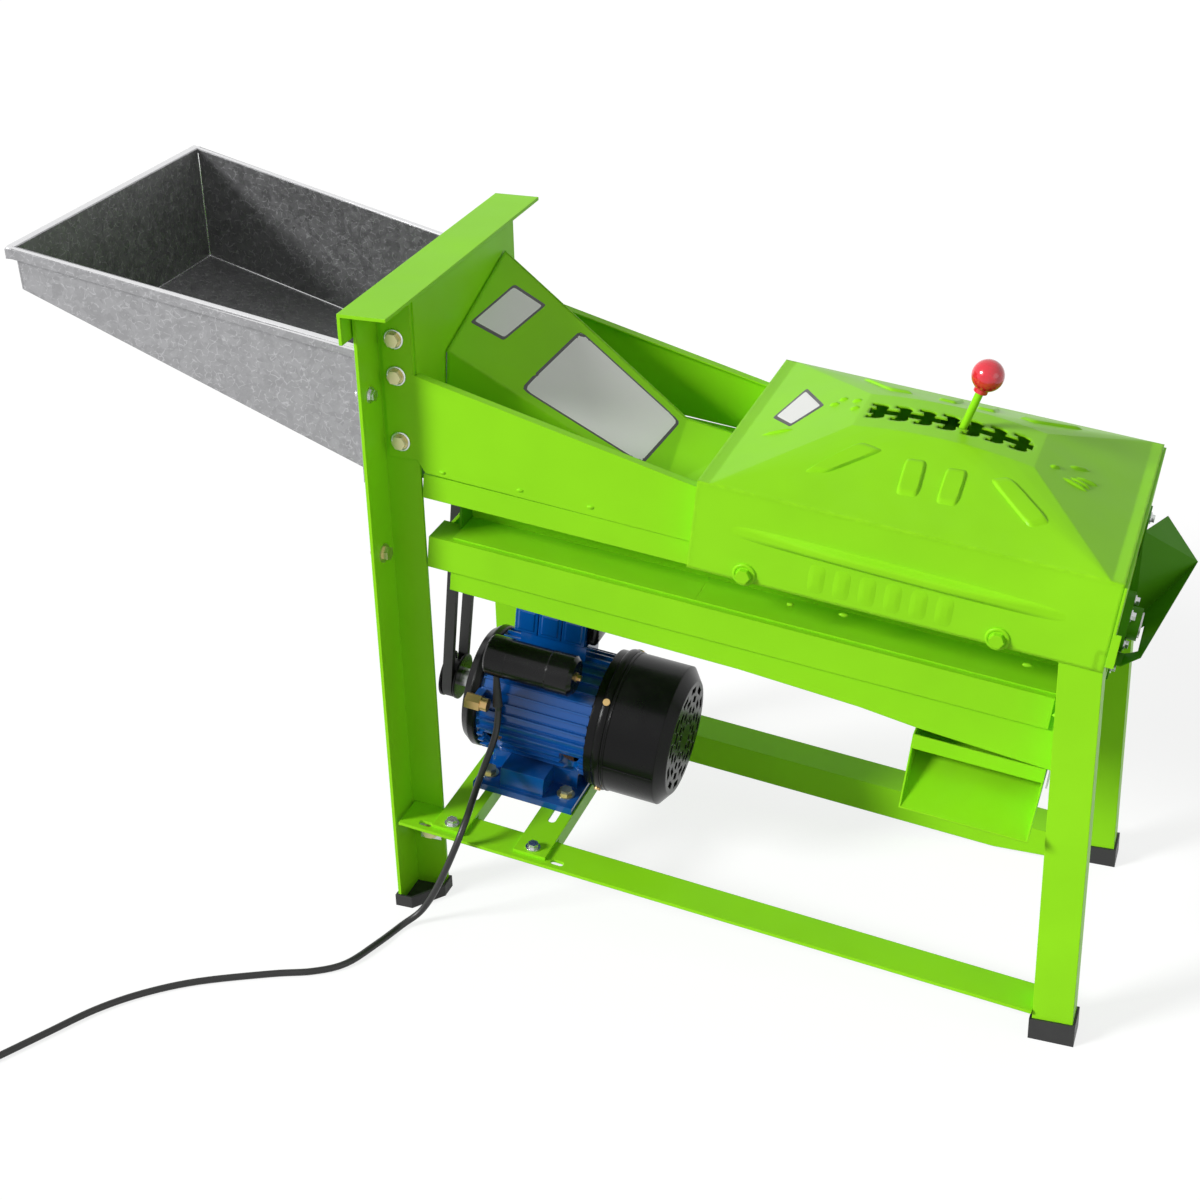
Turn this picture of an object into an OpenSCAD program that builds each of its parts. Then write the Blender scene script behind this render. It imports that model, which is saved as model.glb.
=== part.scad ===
// Electric corn sheller: a hopper feeds cobs to a toothed drum under a bolted cover.
// The body slopes down to the cob outlet. Units are millimetres, Z is up.
// The origin lies on the floor at the middle of the machine, without its cord.

/* [Stand] */
// Slope of the body, down toward the cob outlet
body_slope = 6.5; // [5.5:0.25:7]
// Height of the lower rail's top face at the left legs
rail_h = 512; // [490:1:530]
// Height of the top of the inlet frame
header_h = 800; // [790:1:840]
// Clear depth between the front and rear legs
bay_w = 302; // [296:1:310]
// Width of the angle iron of the left legs, along the machine
leg_w = 42; // [36:1:46]
// Depth of the angle iron of the left legs, across the machine
leg_d = 50; // [44:1:54]
// Thickness of the angle iron
iron_t = 4; // [3:0.5:5]
// Thickness of the sheet metal
sheet_t = 2; // [1.5:0.25:2.5]

/* [Threshing body] */
// Length of the lower rails
rail_len = 734; // [720:2:740]
// Length of the top cover
cover_len = 457; // [440:1:460]
// Radius of the drum with its teeth
drum_r = 62; // [54:1:66]
// Radius of the round trough under the drum
trough_r = 88; // [84:1:88]
// Diameter of the drum shaft
shaft_d = 30; // [25:1:32]
// Number of tooth rings on the drum
tooth_rings = 9; // [6:1:11]

/* [Hopper] */
// Length of the feed hopper
hopper_len = 416; // [360:1:450]
// Width of the hopper's open end
hopper_w = 412; // [380:1:430]
// Height of the hopper rim at its open end
hopper_h = 829; // [820:1:850]

/* [Drive] */
// Radius of the drum pulley
drum_pulley_r = 36; // [32:1:37]
// Radius of the motor pulley
motor_pulley_r = 30; // [26:1:32]
// Radius of the motor's finned frame
motor_r = 80; // [74:1:82]
// Length of the finned frame
motor_len = 150; // [130:2:152]
// Radius of the fan cowl
cowl_r = 90; // [86:1:90]

/* [Lever] */
// Diameter of the lever's ball knob
knob_d = 36; // [28:1:40]
// Diameter of the lever rod
rod_d = 9; // [7:0.5:10]
// Distance from the lever's pivot to the ball's middle
lever_len = 151; // [140:1:160]

/* [Cord] */
// Diameter of the mains cord
cord_d = 8.5; // [7.5:0.25:9]

/* [Hidden] */

$fn = 48;
run_fit = 0.05;
hole_fit = 0.5;
belt_fit = 0.5;
touch = 0.02;

mid_y = bay_w / 2;

// Inlet frame: the header angle lies on the left legs
header_w = 50;
header_drop = 36;
header_over = 76;
header_len = bay_w + 2 * header_over - 6;
leg_top = header_h - iron_t;

// Right legs: a box section that leans out a little at its foot
box_w = 46;
box_d = 34;
box_t = 3;
box_lean_x = 1.7;
box_lean_y = 2.4;
box_top = 502;
box_x = 778;
box_y = -27;
cap_wall = 3;
cap_h = 26;

// Rails and stretchers, in the body's own sloping frame
rail_x0 = 47.5;
upper_x0 = 37.2;
upper_top = 79;
upper_h = 30;
upper_d = 30;
lower_h = 40;
lower_d = 45;
upper_t = 3;
stretch_z = -381;
stretch_x0 = 48;
stretch_len = 792;
stretch_d = 50;
stretch_drop = 22;
rear_drop = 44;
rear_set = 52;
rear_clear = 6;
tab_x = rail_x0 + rail_len - 14;
tab_l = 12;

// Bars that carry the motor
bar_w = 42;
bar_drop = 26;
bar_x = [89, 197];
bar_len = 384;
bar_top = stretch_z + iron_t;
bar_bolt_x = 21;

// Side panels
panel_z0 = 604;
panel_flange_x = 5;
panel_x1 = 362;
panel_top0 = 201;
panel_top1 = 147;
panel_lip = 9;
panel_bolt_x = 21;
panel_bolt_z = [625, 705, 749];

// Threshing chamber
axis_z = 30;
left_plate_x = 72;
right_plate_x = 823.1;
hook_l = 9;
plate_t = 3;
trough_x1 = 371;
sieve_x0 = 371 + touch;
flange_z = upper_top + touch;
slot_count = 7;
slot_l = 46;
slot_w = 14;

// Top cover
cover_x0 = 366;
cover_x1 = cover_x0 + cover_len;
cover_out = 30;
cover_z0 = 63;
cover_z1 = 170;
cover_strip = 14;
roof_x0 = 498;
roof_x1 = 699;
roof_half = 46;
roof_z = 211;
roof_arch = 8;
cover_bolt_x = [431, 710];
cover_bolt_z = 72;

// Lever slot: a channel with hooked notches on both sides
slot_mid_x = (roof_x0 + roof_x1) / 2;
slot_half = 92;
slot_chan = 15;
notch_n = 7;
notch_d = 15;

// Lever
pivot_x = 593;
pivot_z = 136;
pivot_d = 12;
lever_rest = 13;
flap_depth = 20;
flap_w = 150;

// Drum
core_r = 26;
core_t = 4;
drum_x0 = 80;
drum_x1 = 812;
screw_r = drum_r - 4;
screw_n = 12;
blade_t = 4;
teeth_x0 = 366;
teeth_x1 = 770;
tooth_w = 14;

// Bearings
brg_r = 35;
brg_l = 21;
brg_x0 = left_plate_x - brg_l;
brg_x1 = right_plate_x + plate_t;
shaft_x0 = 16;
shaft_x1 = brg_x1 + brg_l + 2;
brg_bolt_r = 26;

// Belt drive
belt_x = 32;
belt_w = 13;
belt_t = 8;
pulley_w = 22;

// Motor, on the bars
motor_axis_z = -284;
motor_x0 = 92;
motor_x1 = motor_x0 + motor_len;
bell_l = 26;
fin_h = 5;
fin_n = 36;
frame_t = 5;
foot_gauge = 140;
foot_x = [bar_x[0] + 26, bar_x[1] + 22];
foot_t = 9;
foot_half = 97;
motor_shaft_d = 24;
cowl_t = 2.5;

// Hopper: the rim narrows toward the inlet, the floor falls to it
hop_x1 = -iron_t - sheet_t - touch;
hop_x0 = hop_x1 - hopper_len;
hop_in_half = 171;
hop_rim_in = 742;
hop_floor_in = 585;
hop_near_out = 779;
hop_far_out = 687;
hop_crease_out = 110;
hop_crease_in = 40;
rim_w = 8;
rim_h = 12;

// Bolts of the left legs, and the hole for the stretcher plate
hook_bolt_z = 490;
hop_bolt_z = 690;
tie_bolt_x = 24;
tie_bolt_z = 89;

// Extents that place the origin
chute_tip = 893;
span_x0 = hop_x0 - rim_w;
span_x1 = chute_tip * cos(body_slope) + 48 * sin(body_slope);
origin_x = (span_x0 + span_x1) / 2;
origin_y = mid_y;

function sub3(a, b) = [a[0] - b[0], a[1] - b[1], a[2] - b[2]];
function rev(list) = [for (i = [len(list) - 1:-1:0]) list[i]];
// World height of a point of the sloping body at x, z
function world_z(x, z) = rail_h + z * cos(body_slope) - x * sin(body_slope);
function world_x(x, z) = x * cos(body_slope) + z * sin(body_slope);

module placed() {
  translate([-origin_x, -origin_y, 0]) children();
}

module sloped() {
  placed() translate([0, 0, rail_h]) rotate([0, body_slope, 0]) children();
}

// A flat sheet: a corner list moved along one vector
module panel(pts, off) {
  side = cross(sub3(pts[1], pts[0]), sub3(pts[2], pts[0])) * off;
  ring = side > 0 ? pts : rev(pts);
  n = len(ring);
  top = [for (p = ring) p + off];
  sides = [for (i = [0:n - 1]) [i, i + n, (i + 1) % n + n, (i + 1) % n]];
  polyhedron(
    points = concat(ring, top),
    faces = concat([[for (i = [0:n - 1]) i]], [[for (i = [n - 1:-1:0]) i + n]], sides)
  );
}

// A bar with a box section between two points, its width along Y or X
module bar(a, b, w, h) {
  panel([a, b, b + w, a + w], h);
}

// A hexagon bolt along +Z: the head sits on z = 0, the shank goes down
module hex_bolt(d, len, head = 1.7, washer = 2.3) {
  translate([0, 0, 1.6]) cylinder(d = head * d, h = 0.65 * d, $fn = 6);
  cylinder(d = washer * d, h = 1.6 + touch);
  translate([0, 0, -len]) cylinder(d = d, h = len + 1);
}

// A hexagon nut on the far end of a bolt along +Z
module hex_nut(d, z) {
  translate([0, 0, z - 0.8 * d]) difference() {
    cylinder(d = 1.7 * d, h = 0.8 * d, $fn = 6);
    translate([0, 0, -1]) cylinder(d = d, h = 0.8 * d + 2);
  }
}

module angle_x(len, d, h, t) {
  // Corner at the origin: one leg lies along +Y, one hangs along -Z
  translate([0, 0, -t]) cube([len, d, t]);
  translate([0, 0, -h]) cube([len, t, h]);
}

module left_leg() {
  difference() {
    union() {
      translate([-iron_t, -leg_d, 4]) cube([iron_t, leg_d + iron_t, leg_top - 4]);
      translate([-iron_t, 0, 4]) cube([leg_w + iron_t, iron_t, leg_top - 4]);
    }
    for (z = panel_bolt_z) translate([panel_bolt_x, 10, z]) rotate([90, 0, 0])
      cylinder(d = 10 + hole_fit, h = 30);
    translate([-20, -leg_d / 2, hook_bolt_z]) rotate([0, 90, 0]) cylinder(d = 10 + hole_fit, h = 40);
    translate([-20, -leg_d / 2 - 4, hop_bolt_z]) rotate([0, 90, 0]) cylinder(d = 8 + hole_fit, h = 40);
    translate([tie_bolt_x, 10, tie_bolt_z]) rotate([90, 0, 0]) cylinder(d = 10 + hole_fit, h = 30);
  }
}

module leg_front_left() { color("limegreen") placed() left_leg(); }
module leg_rear_left() {
  color("limegreen") placed() translate([0, bay_w, 0]) mirror([0, 1, 0]) left_leg();
}

module right_box(grow, z0, z1) {
  translate([box_x, box_y, box_top]) rotate([-box_lean_y, -box_lean_x, 0])
    translate([-grow, -grow, z0 - box_top]) cube([box_w + 2 * grow, box_d + 2 * grow, z1 - z0]);
}

module floor_cut() {
  translate([-1000, -1000, -60]) cube([3000, 3000, 60]);
}

module right_leg() {
  difference() {
    right_box(0, 5, box_top);
    right_box(-box_t, -20, box_top - box_t);
  }
}

module leg_front_right() { color("limegreen") placed() right_leg(); }
module leg_rear_right() {
  color("limegreen") placed() translate([0, bay_w, 0]) mirror([0, 1, 0]) right_leg();
}

module right_cap() {
  difference() {
    right_box(cap_wall, -20, cap_h);
    right_box(touch, 5, cap_h + 20);
    floor_cut();
  }
}

module leg_caps() { color("black") placed() both_sides() right_cap(); }

// The boot is a five-sided cup; the leg stands in its corner
boot_wall = 3;
boot_h = 16;
boot_nose = 14;
module boot_plan(grow) {
  x0 = -iron_t - grow;
  y1 = iron_t + grow;
  x1 = leg_w + grow;
  y0 = -leg_d - grow;
  polygon([[x0, y1], [x1, y1], [x1, -boot_nose - grow / 2], [boot_nose + grow / 2, y0], [x0, y0]]);
}

module left_boot() {
  difference() {
    linear_extrude(boot_h) boot_plan(boot_wall);
    translate([0, 0, 4]) linear_extrude(boot_h) boot_plan(touch);
  }
}

module leg_boots() { color("black") placed() both_sides() left_boot(); }

module header_angle() {
  color("limegreen") placed() {
    translate([-iron_t - 2, mid_y - header_len / 2, header_h - iron_t])
      cube([header_w + 4, header_len, iron_t]);
    translate([-2 * iron_t - 2, mid_y - header_len / 2, header_h - header_drop])
      cube([iron_t, header_len, header_drop]);
  }
}

// Rails, stretchers and bars, in the sloping frame

module lower_rail() {
  angle_x(rail_len, lower_d, lower_h, iron_t);
}

module upper_rail() {
  len = rail_len + rail_x0 - upper_x0 - 8.2;
  difference() {
    union() {
      angle_x(len, upper_d, upper_h, upper_t);
      for (x = cover_bolt_x)
        translate([x - upper_x0, 1, cover_bolt_z - upper_top]) rotate([90, 0, 0])
          cylinder(d = 20, h = cover_out - sheet_t + 1 - touch);
    }
    for (x = cover_bolt_x)
      translate([x - upper_x0, 20, cover_bolt_z - upper_top]) rotate([90, 0, 0])
        cylinder(d = 10 + hole_fit, h = 80);
  }
}

// Welded base: two lower rails joined by two cross bars
module base_frame() {
  color("yellowgreen") sloped() {
    both_sides() translate([rail_x0, 0, 0]) lower_rail();
    cross_bar_left();
    cross_bar_right();
  }
}

module upper_rails() {
  color("yellowgreen") sloped() both_sides() translate([upper_x0, 0, upper_top]) upper_rail();
}

stretch_y1 = -0.3;
slot_y = stretch_y1 - 38;
slot_x = [bar_x[0] - 10, bar_x[1] + bar_w + 15];

module stretcher_holes() {
  for (x = bar_x)
    translate([x + bar_bolt_x, stretch_y1 - 28, stretch_z - 20]) cylinder(d = 8 + hole_fit, h = 40);
  for (x = slot_x) hull() for (s = [-1, 1])
    translate([x + 4 * s, slot_y, stretch_z - 8]) cylinder(d = 9, h = 12);
}

module stretcher(drop) {
  difference() {
    translate([stretch_x0, stretch_y1, 0]) mirror([0, 1, 0]) {
      translate([0, 0, stretch_z - iron_t]) cube([stretch_len, stretch_d, iron_t]);
      translate([0, 0, stretch_z - stretch_drop]) cube([stretch_len, iron_t, stretch_drop]);
      if (drop > stretch_drop)
        translate([rear_set, 0, stretch_z - drop]) cube([stretch_len - rear_set, iron_t, drop]);
    }
    stretcher_holes();
  }
}

module stretcher_front() { color("limegreen") sloped() stretcher(stretch_drop); }

// The rear stretcher hangs lower, behind the motor, and stays clear of the floor
module stretcher_rear() {
  color("limegreen") difference() {
    sloped() translate([0, bay_w, 0]) mirror([0, 1, 0]) stretcher(rear_drop);
    placed() translate([0, 0, rear_clear]) floor_cut();
  }
}

module mount_bar(i) {
  difference() {
    union() {
      translate([bar_x[i], mid_y - bar_len / 2, stretch_z]) cube([bar_w, bar_len, iron_t]);
      translate([bar_x[i] + bar_w - iron_t, 8, bar_top - bar_drop]) cube([iron_t, bay_w - 16, bar_drop]);
    }
    for (y = [stretch_y1 - 28, bay_w - stretch_y1 + 28])
      translate([bar_x[i] + bar_bolt_x, y, stretch_z - 10]) cylinder(d = 8 + hole_fit, h = 30);
    for (y = [mid_y - foot_gauge / 2, mid_y + foot_gauge / 2])
      translate([foot_x[i], y, stretch_z - 10]) cylinder(d = 10 + hole_fit, h = 30);
    // Spare slots beside the motor's feet
    for (s = [-1, 1]) hull() for (r = [93, 117])
      translate([foot_x[i], mid_y + s * r, stretch_z - 8]) cylinder(d = 10, h = 20);
  }
}

module mount_bars() { color("limegreen") sloped() for (i = [0, 1]) mount_bar(i); }

module cross_bar_left() {
  translate([rail_x0 + 2, iron_t - 1, -lower_h]) cube([iron_t, bay_w - 2 * iron_t + 2, 30]);
  translate([rail_x0 + 2, iron_t - 1, -lower_h]) cube([20, bay_w - 2 * iron_t + 2, iron_t]);
}

module cross_bar_right() {
  // It stands behind the tray and is welded to tabs of the rails
  x = 799;
  difference() {
    union() {
      translate([x, 11, -lower_h + 2]) cube([iron_t, bay_w - 22, 36]);
      for (y = [11, bay_w - 15]) translate([tab_x, y, -lower_h + 2])
        cube([x - tab_x + 2, iron_t, 36]);
      for (y = [3, bay_w - 15]) translate([tab_x, y, -lower_h + 2]) cube([tab_l, 12, iron_t]);
    }
    translate([x - 1, mid_y, axis_z]) rotate([0, 90, 0]) cylinder(r = trough_r + sheet_t + 0.4, h = 20);
  }
}

function on_slope(x, z) = [world_x(x, z), world_z(x, z)];

module side_panel() {
  a = on_slope(panel_x1, upper_top + 0.4);
  b = on_slope(panel_x1, panel_top1);
  c = on_slope(8, panel_top0);
  d = on_slope(40, 82);
  difference() {
    union() {
      translate([0, 0, 0]) rotate([90, 0, 0]) linear_extrude(sheet_t) {
        polygon([a, b, c, [leg_w - 2, c[1]], [leg_w - 2, panel_z0], d]);
        polygon([[panel_flange_x, panel_z0], [leg_w, panel_z0], [leg_w, leg_top - 1],
          [panel_flange_x, leg_top - 1]]);
      }
      panel(
        [
          [c[0] + 13, -sheet_t, c[1] - 3.6], [b[0], -sheet_t, b[1] - 0.1],
          [b[0], panel_lip, b[1] - 0.1], [c[0] + 13, panel_lip, c[1] - 3.6]
        ],
        [0, 0, -sheet_t]
      );
    }
    for (z = panel_bolt_z) translate([panel_bolt_x, 10, z]) rotate([90, 0, 0])
      cylinder(d = 10 + hole_fit, h = 30);
    // The lip is cut back where the leg stands
    translate([-10, 0, 500]) cube([leg_w + 12.5, iron_t + 20, 400]);
  }
}

module side_panel_front() { color("lime") placed() side_panel(); }
module side_panel_rear() {
  color("lime") placed() translate([0, bay_w, 0]) mirror([0, 1, 0]) side_panel();
}

// The round trough with its straight sides and flanges, as a plan across X
module trough_plan() {
  out = trough_r + sheet_t;
  difference() {
    union() {
      translate([0, axis_z]) circle(r = out, $fn = 96);
      translate([-out, axis_z]) square([2 * out, flange_z - axis_z + sheet_t]);
      translate([-mid_y + 8, flange_z]) square([2 * mid_y - 16, sheet_t]);
      translate([-mid_y + 8, touch]) square([2 * mid_y - 16, sheet_t]);
    }
    translate([0, axis_z]) circle(r = trough_r, $fn = 96);
    translate([-trough_r, axis_z]) square([2 * trough_r, 200]);
  }
}

module trough_run(x0, x1) {
  translate([x0, mid_y, 0]) rotate([90, 0, 90]) linear_extrude(x1 - x0) trough_plan();
}

module trough() {
  color("green") sloped() trough_run(left_plate_x + plate_t + touch, trough_x1);
}

module sieve() {
  pitch = (tray_x1 - 12 - sieve_x0 - 20) / slot_count;
  color("yellowgreen") sloped() difference() {
    trough_run(sieve_x0, right_plate_x - 2);
    for (a = [-56, -28, 0, 28, 56], i = [0:slot_count - 1])
      translate([sieve_x0 + 14 + i * pitch, mid_y, axis_z]) rotate([a, 0, 0])
        translate([0, -slot_w / 2, -trough_r - 20]) cube([slot_l, slot_w, 40]);
  }
}

module brg_holes(x) {
  for (a = [45:90:315])
    translate([x - 30, mid_y, axis_z]) rotate([a, 0, 0]) translate([0, 0, brg_bolt_r])
      rotate([0, 90, 0]) cylinder(d = 6 + hole_fit, h = 60);
}

// Left end plate, with the feed floor that carries the cobs over the pulley
feed_z = 71;
module end_plate_left() {
  y0 = iron_t + 1;
  color("green") sloped() difference() {
    union() {
      translate([0, y0, feed_z]) cube([left_plate_x - 18, bay_w - 2 * y0, sheet_t]);
      translate([left_plate_x - 18 - sheet_t, 31, feed_z])
        cube([sheet_t, bay_w - 62, flange_z + sheet_t - feed_z]);
      translate([left_plate_x, 46, -lower_h]) cube([plate_t, bay_w - 92, flange_z + lower_h]);
      translate([left_plate_x, 31, 2]) cube([plate_t, bay_w - 62, flange_z - 2]);
      translate([left_plate_x - 18, 31, flange_z]) cube([18 + plate_t, bay_w - 62, sheet_t]);
    }
    translate([left_plate_x - 5, mid_y, axis_z]) rotate([0, 90, 0]) cylinder(d = shaft_d + 8, h = 20);
    brg_holes(left_plate_x);
  }
}

// The window lets the cobs out above the bearing
window_y = 108;
window_w = 124;
window_z = 72;
window_h = 76;
chute_bolts_at = [[270, 104], [226, 24], [196, -9], [112, -9]];

module end_plate_right() {
  color("green") sloped() difference() {
    union() {
      translate([right_plate_x, 12, -lower_h + 4]) cube([plate_t, bay_w - 24, cover_z0 + lower_h + 26]);
      translate([right_plate_x, -cover_out - 1, cover_z0 + 26])
        cube([plate_t, bay_w + 2 * cover_out + 2, cover_z1 - cover_z0 - 30]);
      translate([right_plate_x, -cover_out - 1, cover_z0 + 8]) cube([hook_l, 1.6, 40]);
      translate([right_plate_x + hook_l - 1.6, -cover_out - 1, cover_z0 + 8]) cube([1.6, 8, 14]);
    }
    translate([right_plate_x - 5, mid_y, axis_z]) rotate([0, 90, 0]) cylinder(d = shaft_d + 8, h = 20);
    translate([right_plate_x - 5, window_y, window_z]) cube([10, window_w, window_h]);
    brg_holes(right_plate_x);
    chute_holes();
  }
}

module chute_holes() {
  for (p = chute_bolts_at)
    translate([right_plate_x - 5, p[0], p[1]]) rotate([0, 90, 0]) cylinder(d = 6 + hole_fit, h = 15);
}

// Cob chute: a far panel and a floor panel, with a flange on the end plate
chute_x = right_plate_x + plate_t + touch;
chute_t = [chute_x, 240, 100];
chute_u = [chute_x + 21, 300, 97];
chute_v = [chute_tip, 300, 48];
chute_w = [chute_x + 14, 209, 1];
chute_lip = [857, 100, 18];
chute_low = [chute_x + 12, 100, 1];

module cob_chute() {
  // The sheets are thickened inward, so they overlap along the fold
  out = [0, -1.4, 1.4];
  down = [0, 0, sheet_t];
  root_far = [chute_x, 209, 1];
  root_near = [chute_x, 100, 1];
  color("green") sloped() difference() {
    union() {
      panel([chute_t, chute_u, chute_v], out);
      panel([chute_t, chute_v, chute_w], out);
      panel([chute_t, chute_w, root_far], out);
      panel([chute_w, chute_v, chute_lip], down);
      panel([chute_w, chute_lip, chute_low], down);
      panel([root_far, chute_w, chute_low, root_near], down);
      translate([chute_x, 0, 0]) rotate([90, 0, 90]) linear_extrude(sheet_t)
        polygon([[239, 114], [282, 114], [282, 96], [258, 90], [224, -18], [98, -18], [98, 1], [209, 1]]);
    }
    translate([chute_x - 1, mid_y, axis_z]) rotate([0, 90, 0]) cylinder(r = brg_r + 1, h = brg_l + 6);
    chute_holes();
  }
}

// Throat between the inlet frame and the cover
throat_n0 = [24, 82, 199];
throat_f0 = [17, 266, 258];
throat_n1 = [300, 82, 91];
throat_f1 = [290, 188, 133];
throat_n2 = [374, 82, 101];
throat_f2 = [374, 188, 126];
throat_base = flange_z + sheet_t + touch;
throat_bn = mid_y - trough_r - 2;
throat_bf = mid_y + trough_r + 4;
module throat_hood() {
  up = [0, 0, -sheet_t];
  in_y = [0, sheet_t, 0];
  back_y = [0, -sheet_t, 0];
  b0 = [38, throat_bn, throat_base];
  b1 = [300, throat_bn, throat_base];
  b2 = [374, throat_bn, throat_base];
  g0 = [38, 264, throat_base];
  g1 = [290, throat_bf, throat_base];
  g2 = [374, throat_bf, throat_base];
  color("lime") sloped() {
    panel([throat_n0, throat_n1, throat_f1], up);
    panel([throat_n0, throat_f1, throat_f0], up);
    panel([throat_n1, throat_n2, throat_f2], up);
    panel([throat_n1, throat_f2, throat_f1], up);
    panel([b0, b1, throat_n1], in_y);
    panel([b0, throat_n1, throat_n0], in_y);
    panel([b1, b2, throat_n2], in_y);
    panel([b1, throat_n2, throat_n1], in_y);
    panel([g0, g1, throat_f1], back_y);
    panel([g0, throat_f1, throat_f0], back_y);
    panel([g1, g2, throat_f2], back_y);
    panel([g1, throat_f2, throat_f1], back_y);
  }
}

// A sheet across the inlet closes the space round the hood
module inlet_frame() {
  x = leg_w + touch;
  y0 = 4;
  color("lime") placed() difference() {
    translate([x, y0, panel_z0]) cube([sheet_t, bay_w - 2 * y0, leg_top - panel_z0 - touch]);
    hood_hole();
  }
}

module hood_hole() {
  // The clear passage inside the hood, at the inlet
  n = on_slope(throat_n0[0], throat_n0[2]);
  f = on_slope(throat_f0[0], throat_f0[2]);
  translate([-20, 0, 0]) rotate([90, 0, 90]) linear_extrude(200)
    polygon([[throat_bn + 3, 500], [260, 500], [262, f[1] - 6], [84, n[1] - 5]]);
}

// Top cover: a skirt and a hip roof up to the slot plate
module roof_body(grow) {
  g = -grow;
  x0 = cover_x0 + g;
  x1 = cover_x1 - g;
  y0 = -cover_out + g;
  y1 = bay_w + cover_out - g;
  translate([x0, y0, cover_z0 - (grow < 0 ? 10 : 0)])
    cube([x1 - x0, y1 - y0, cover_z1 - cover_z0 + (grow < 0 ? 10 : 0) + grow]);
  hull() {
    translate([x0 + cover_strip, y0, cover_z1 + grow - 1]) cube([x1 - x0 - 2 * cover_strip, y1 - y0, 1]);
    for (i = [-4:4]) {
      x = slot_mid_x + i * (roof_x1 - roof_x0) / 8;
      z = roof_z + roof_arch * (1 - i * i / 16) + grow;
      translate([x - 0.5, mid_y - roof_half, z - 1]) cube([1, 2 * roof_half, 1]);
    }
  }
}

module slot_plan() {
  translate([-slot_half, -slot_chan / 2]) square([2 * slot_half, slot_chan]);
  for (i = [0:notch_n - 1]) {
    x = -slot_half + 12 + i * (2 * slot_half - 24) / (notch_n - 1);
    for (s = [-1, 1]) {
      translate([x, s * 12]) circle(d = notch_d);
      translate([x - 4, s > 0 ? 0 : -12]) square([8, 12]);
      translate([x - notch_d / 2 - 5, s * 17 - 3.5]) square([notch_d / 2 + 5, 7]);
    }
  }
}

module top_cover() {
  color("lime") sloped() difference() {
    roof_body(0);
    roof_body(-sheet_t);
    translate([slot_mid_x, mid_y, cover_z1]) linear_extrude(80) slot_plan();
    // Opening for the throat
    translate([cover_x0 - 10, throat_bn - 6, cover_z0 - 10])
      cube([30, throat_bf - throat_bn + 14, 155 - cover_z0]);
    // Room for the rails and side panels at the inlet end
    translate([cover_x0 - 10, -4, cover_z0 - 10])
      cube([20, bay_w + 8, flange_z + sheet_t + 1 - cover_z0 + 10]);
    // The right end stands over the legs and rails
    translate([cover_x1 - 10, -cover_out - 1 + sheet_t, cover_z0 - 10])
      cube([20, bay_w + 2 * cover_out - 2 * sheet_t + 2, 34]);
    // The cobs leave through the right end wall, into the chute
    translate([cover_x1 - 10, 104, cover_z0 - 10]) cube([20, 180, 162 - cover_z0]);
    for (x = cover_bolt_x, y = [-cover_out - 5, bay_w + cover_out - 10])
      translate([x, y + 15, cover_bolt_z]) rotate([90, 0, 0]) cylinder(d = 10 + hole_fit, h = 15);
  }
}

// Grain tray under the trough: the front edge of its floor falls toward the spout
tray_x0 = 76;
tray_x1 = 795;
tray_y0 = iron_t + 0.1;
tray_top = -iron_t - touch;
tray_edge = [[76, -64], [433, -68], [575, -75], [642, -82], [795, -91]];
tray_rear = [[76, -64], [433, -66], [575, -69], [642, -71], [795, -75]];
spout_x0 = 640;
spout_x1 = 790;
spout_y1 = 70;

module tray_floor() {
  y1 = bay_w - tray_y0;
  for (i = [0:len(tray_edge) - 2]) {
    a = [tray_edge[i][0], tray_y0, tray_edge[i][1]];
    b = [tray_edge[i + 1][0], tray_y0, tray_edge[i + 1][1]];
    c = [tray_rear[i + 1][0], y1, tray_rear[i + 1][1]];
    d = [tray_rear[i][0], y1, tray_rear[i][1]];
    panel([a, b, c], [0, 0, -sheet_t]);
    panel([a, c, d], [0, 0, -sheet_t]);
  }
}

module tray_side(edge, y) {
  tops = [[tray_x1, tray_top], [tray_x0, tray_top]];
  translate([0, y + sheet_t, 0]) rotate([90, 0, 0]) linear_extrude(sheet_t)
    polygon(concat([for (p = edge) [p[0], p[1] - sheet_t]], tops));
}

module tray_end(x, z0, z1) {
  translate([x, mid_y, 0]) rotate([90, 0, 90]) linear_extrude(sheet_t) difference() {
    polygon([[tray_y0 - mid_y, z0], [mid_y - tray_y0, z1], [mid_y - tray_y0, tray_top],
      [tray_y0 - mid_y, tray_top]]);
    translate([0, axis_z]) circle(r = trough_r + sheet_t + 0.4, $fn = 96);
  }
}

module grain_tray() {
  color("yellowgreen") sloped() difference() {
    union() {
      tray_floor();
      tray_side(tray_edge, tray_y0);
      tray_side(tray_rear, bay_w - tray_y0 - sheet_t);
      tray_end(tray_x0, -66, -66);
      tray_end(tray_x1 - sheet_t, -93, -77);
    }
    translate([spout_x0 + 3, tray_y0 + sheet_t, -120]) cube([spout_x1 - spout_x0 - 6, spout_y1 - 10, 50]);
    // The tabs and arms of the right cross bar pass through slots
    both_sides() {
      translate([tab_x - 0.4, 3, -lower_h + 1.6]) cube([tab_l + 0.8, 12.4, iron_t + 0.8]);
      translate([tray_x1 - 8, 10.6, -lower_h + 1.6]) cube([16, 4.8, lower_h]);
    }
  }
}

// Grain spout: a band in front, two cheeks, a back and a sloping floor
spout_top = -93.6;
spout_band = -112;
spout_lip_y = -60;
spout_lip_z = -148;
spout_back_z = -120;
spout_flare = 7;

module spout_cheek(x, flare, t) {
  panel([[x, 6, spout_top], [x, spout_y1, spout_top], [x, spout_y1, spout_back_z],
    [x, 6, spout_band]], [t, 0, 0]);
  panel([[x, 6, spout_band], [x, spout_y1, spout_back_z], [x + flare, spout_lip_y, spout_lip_z]],
    [t, 0, 0]);
}

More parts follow.
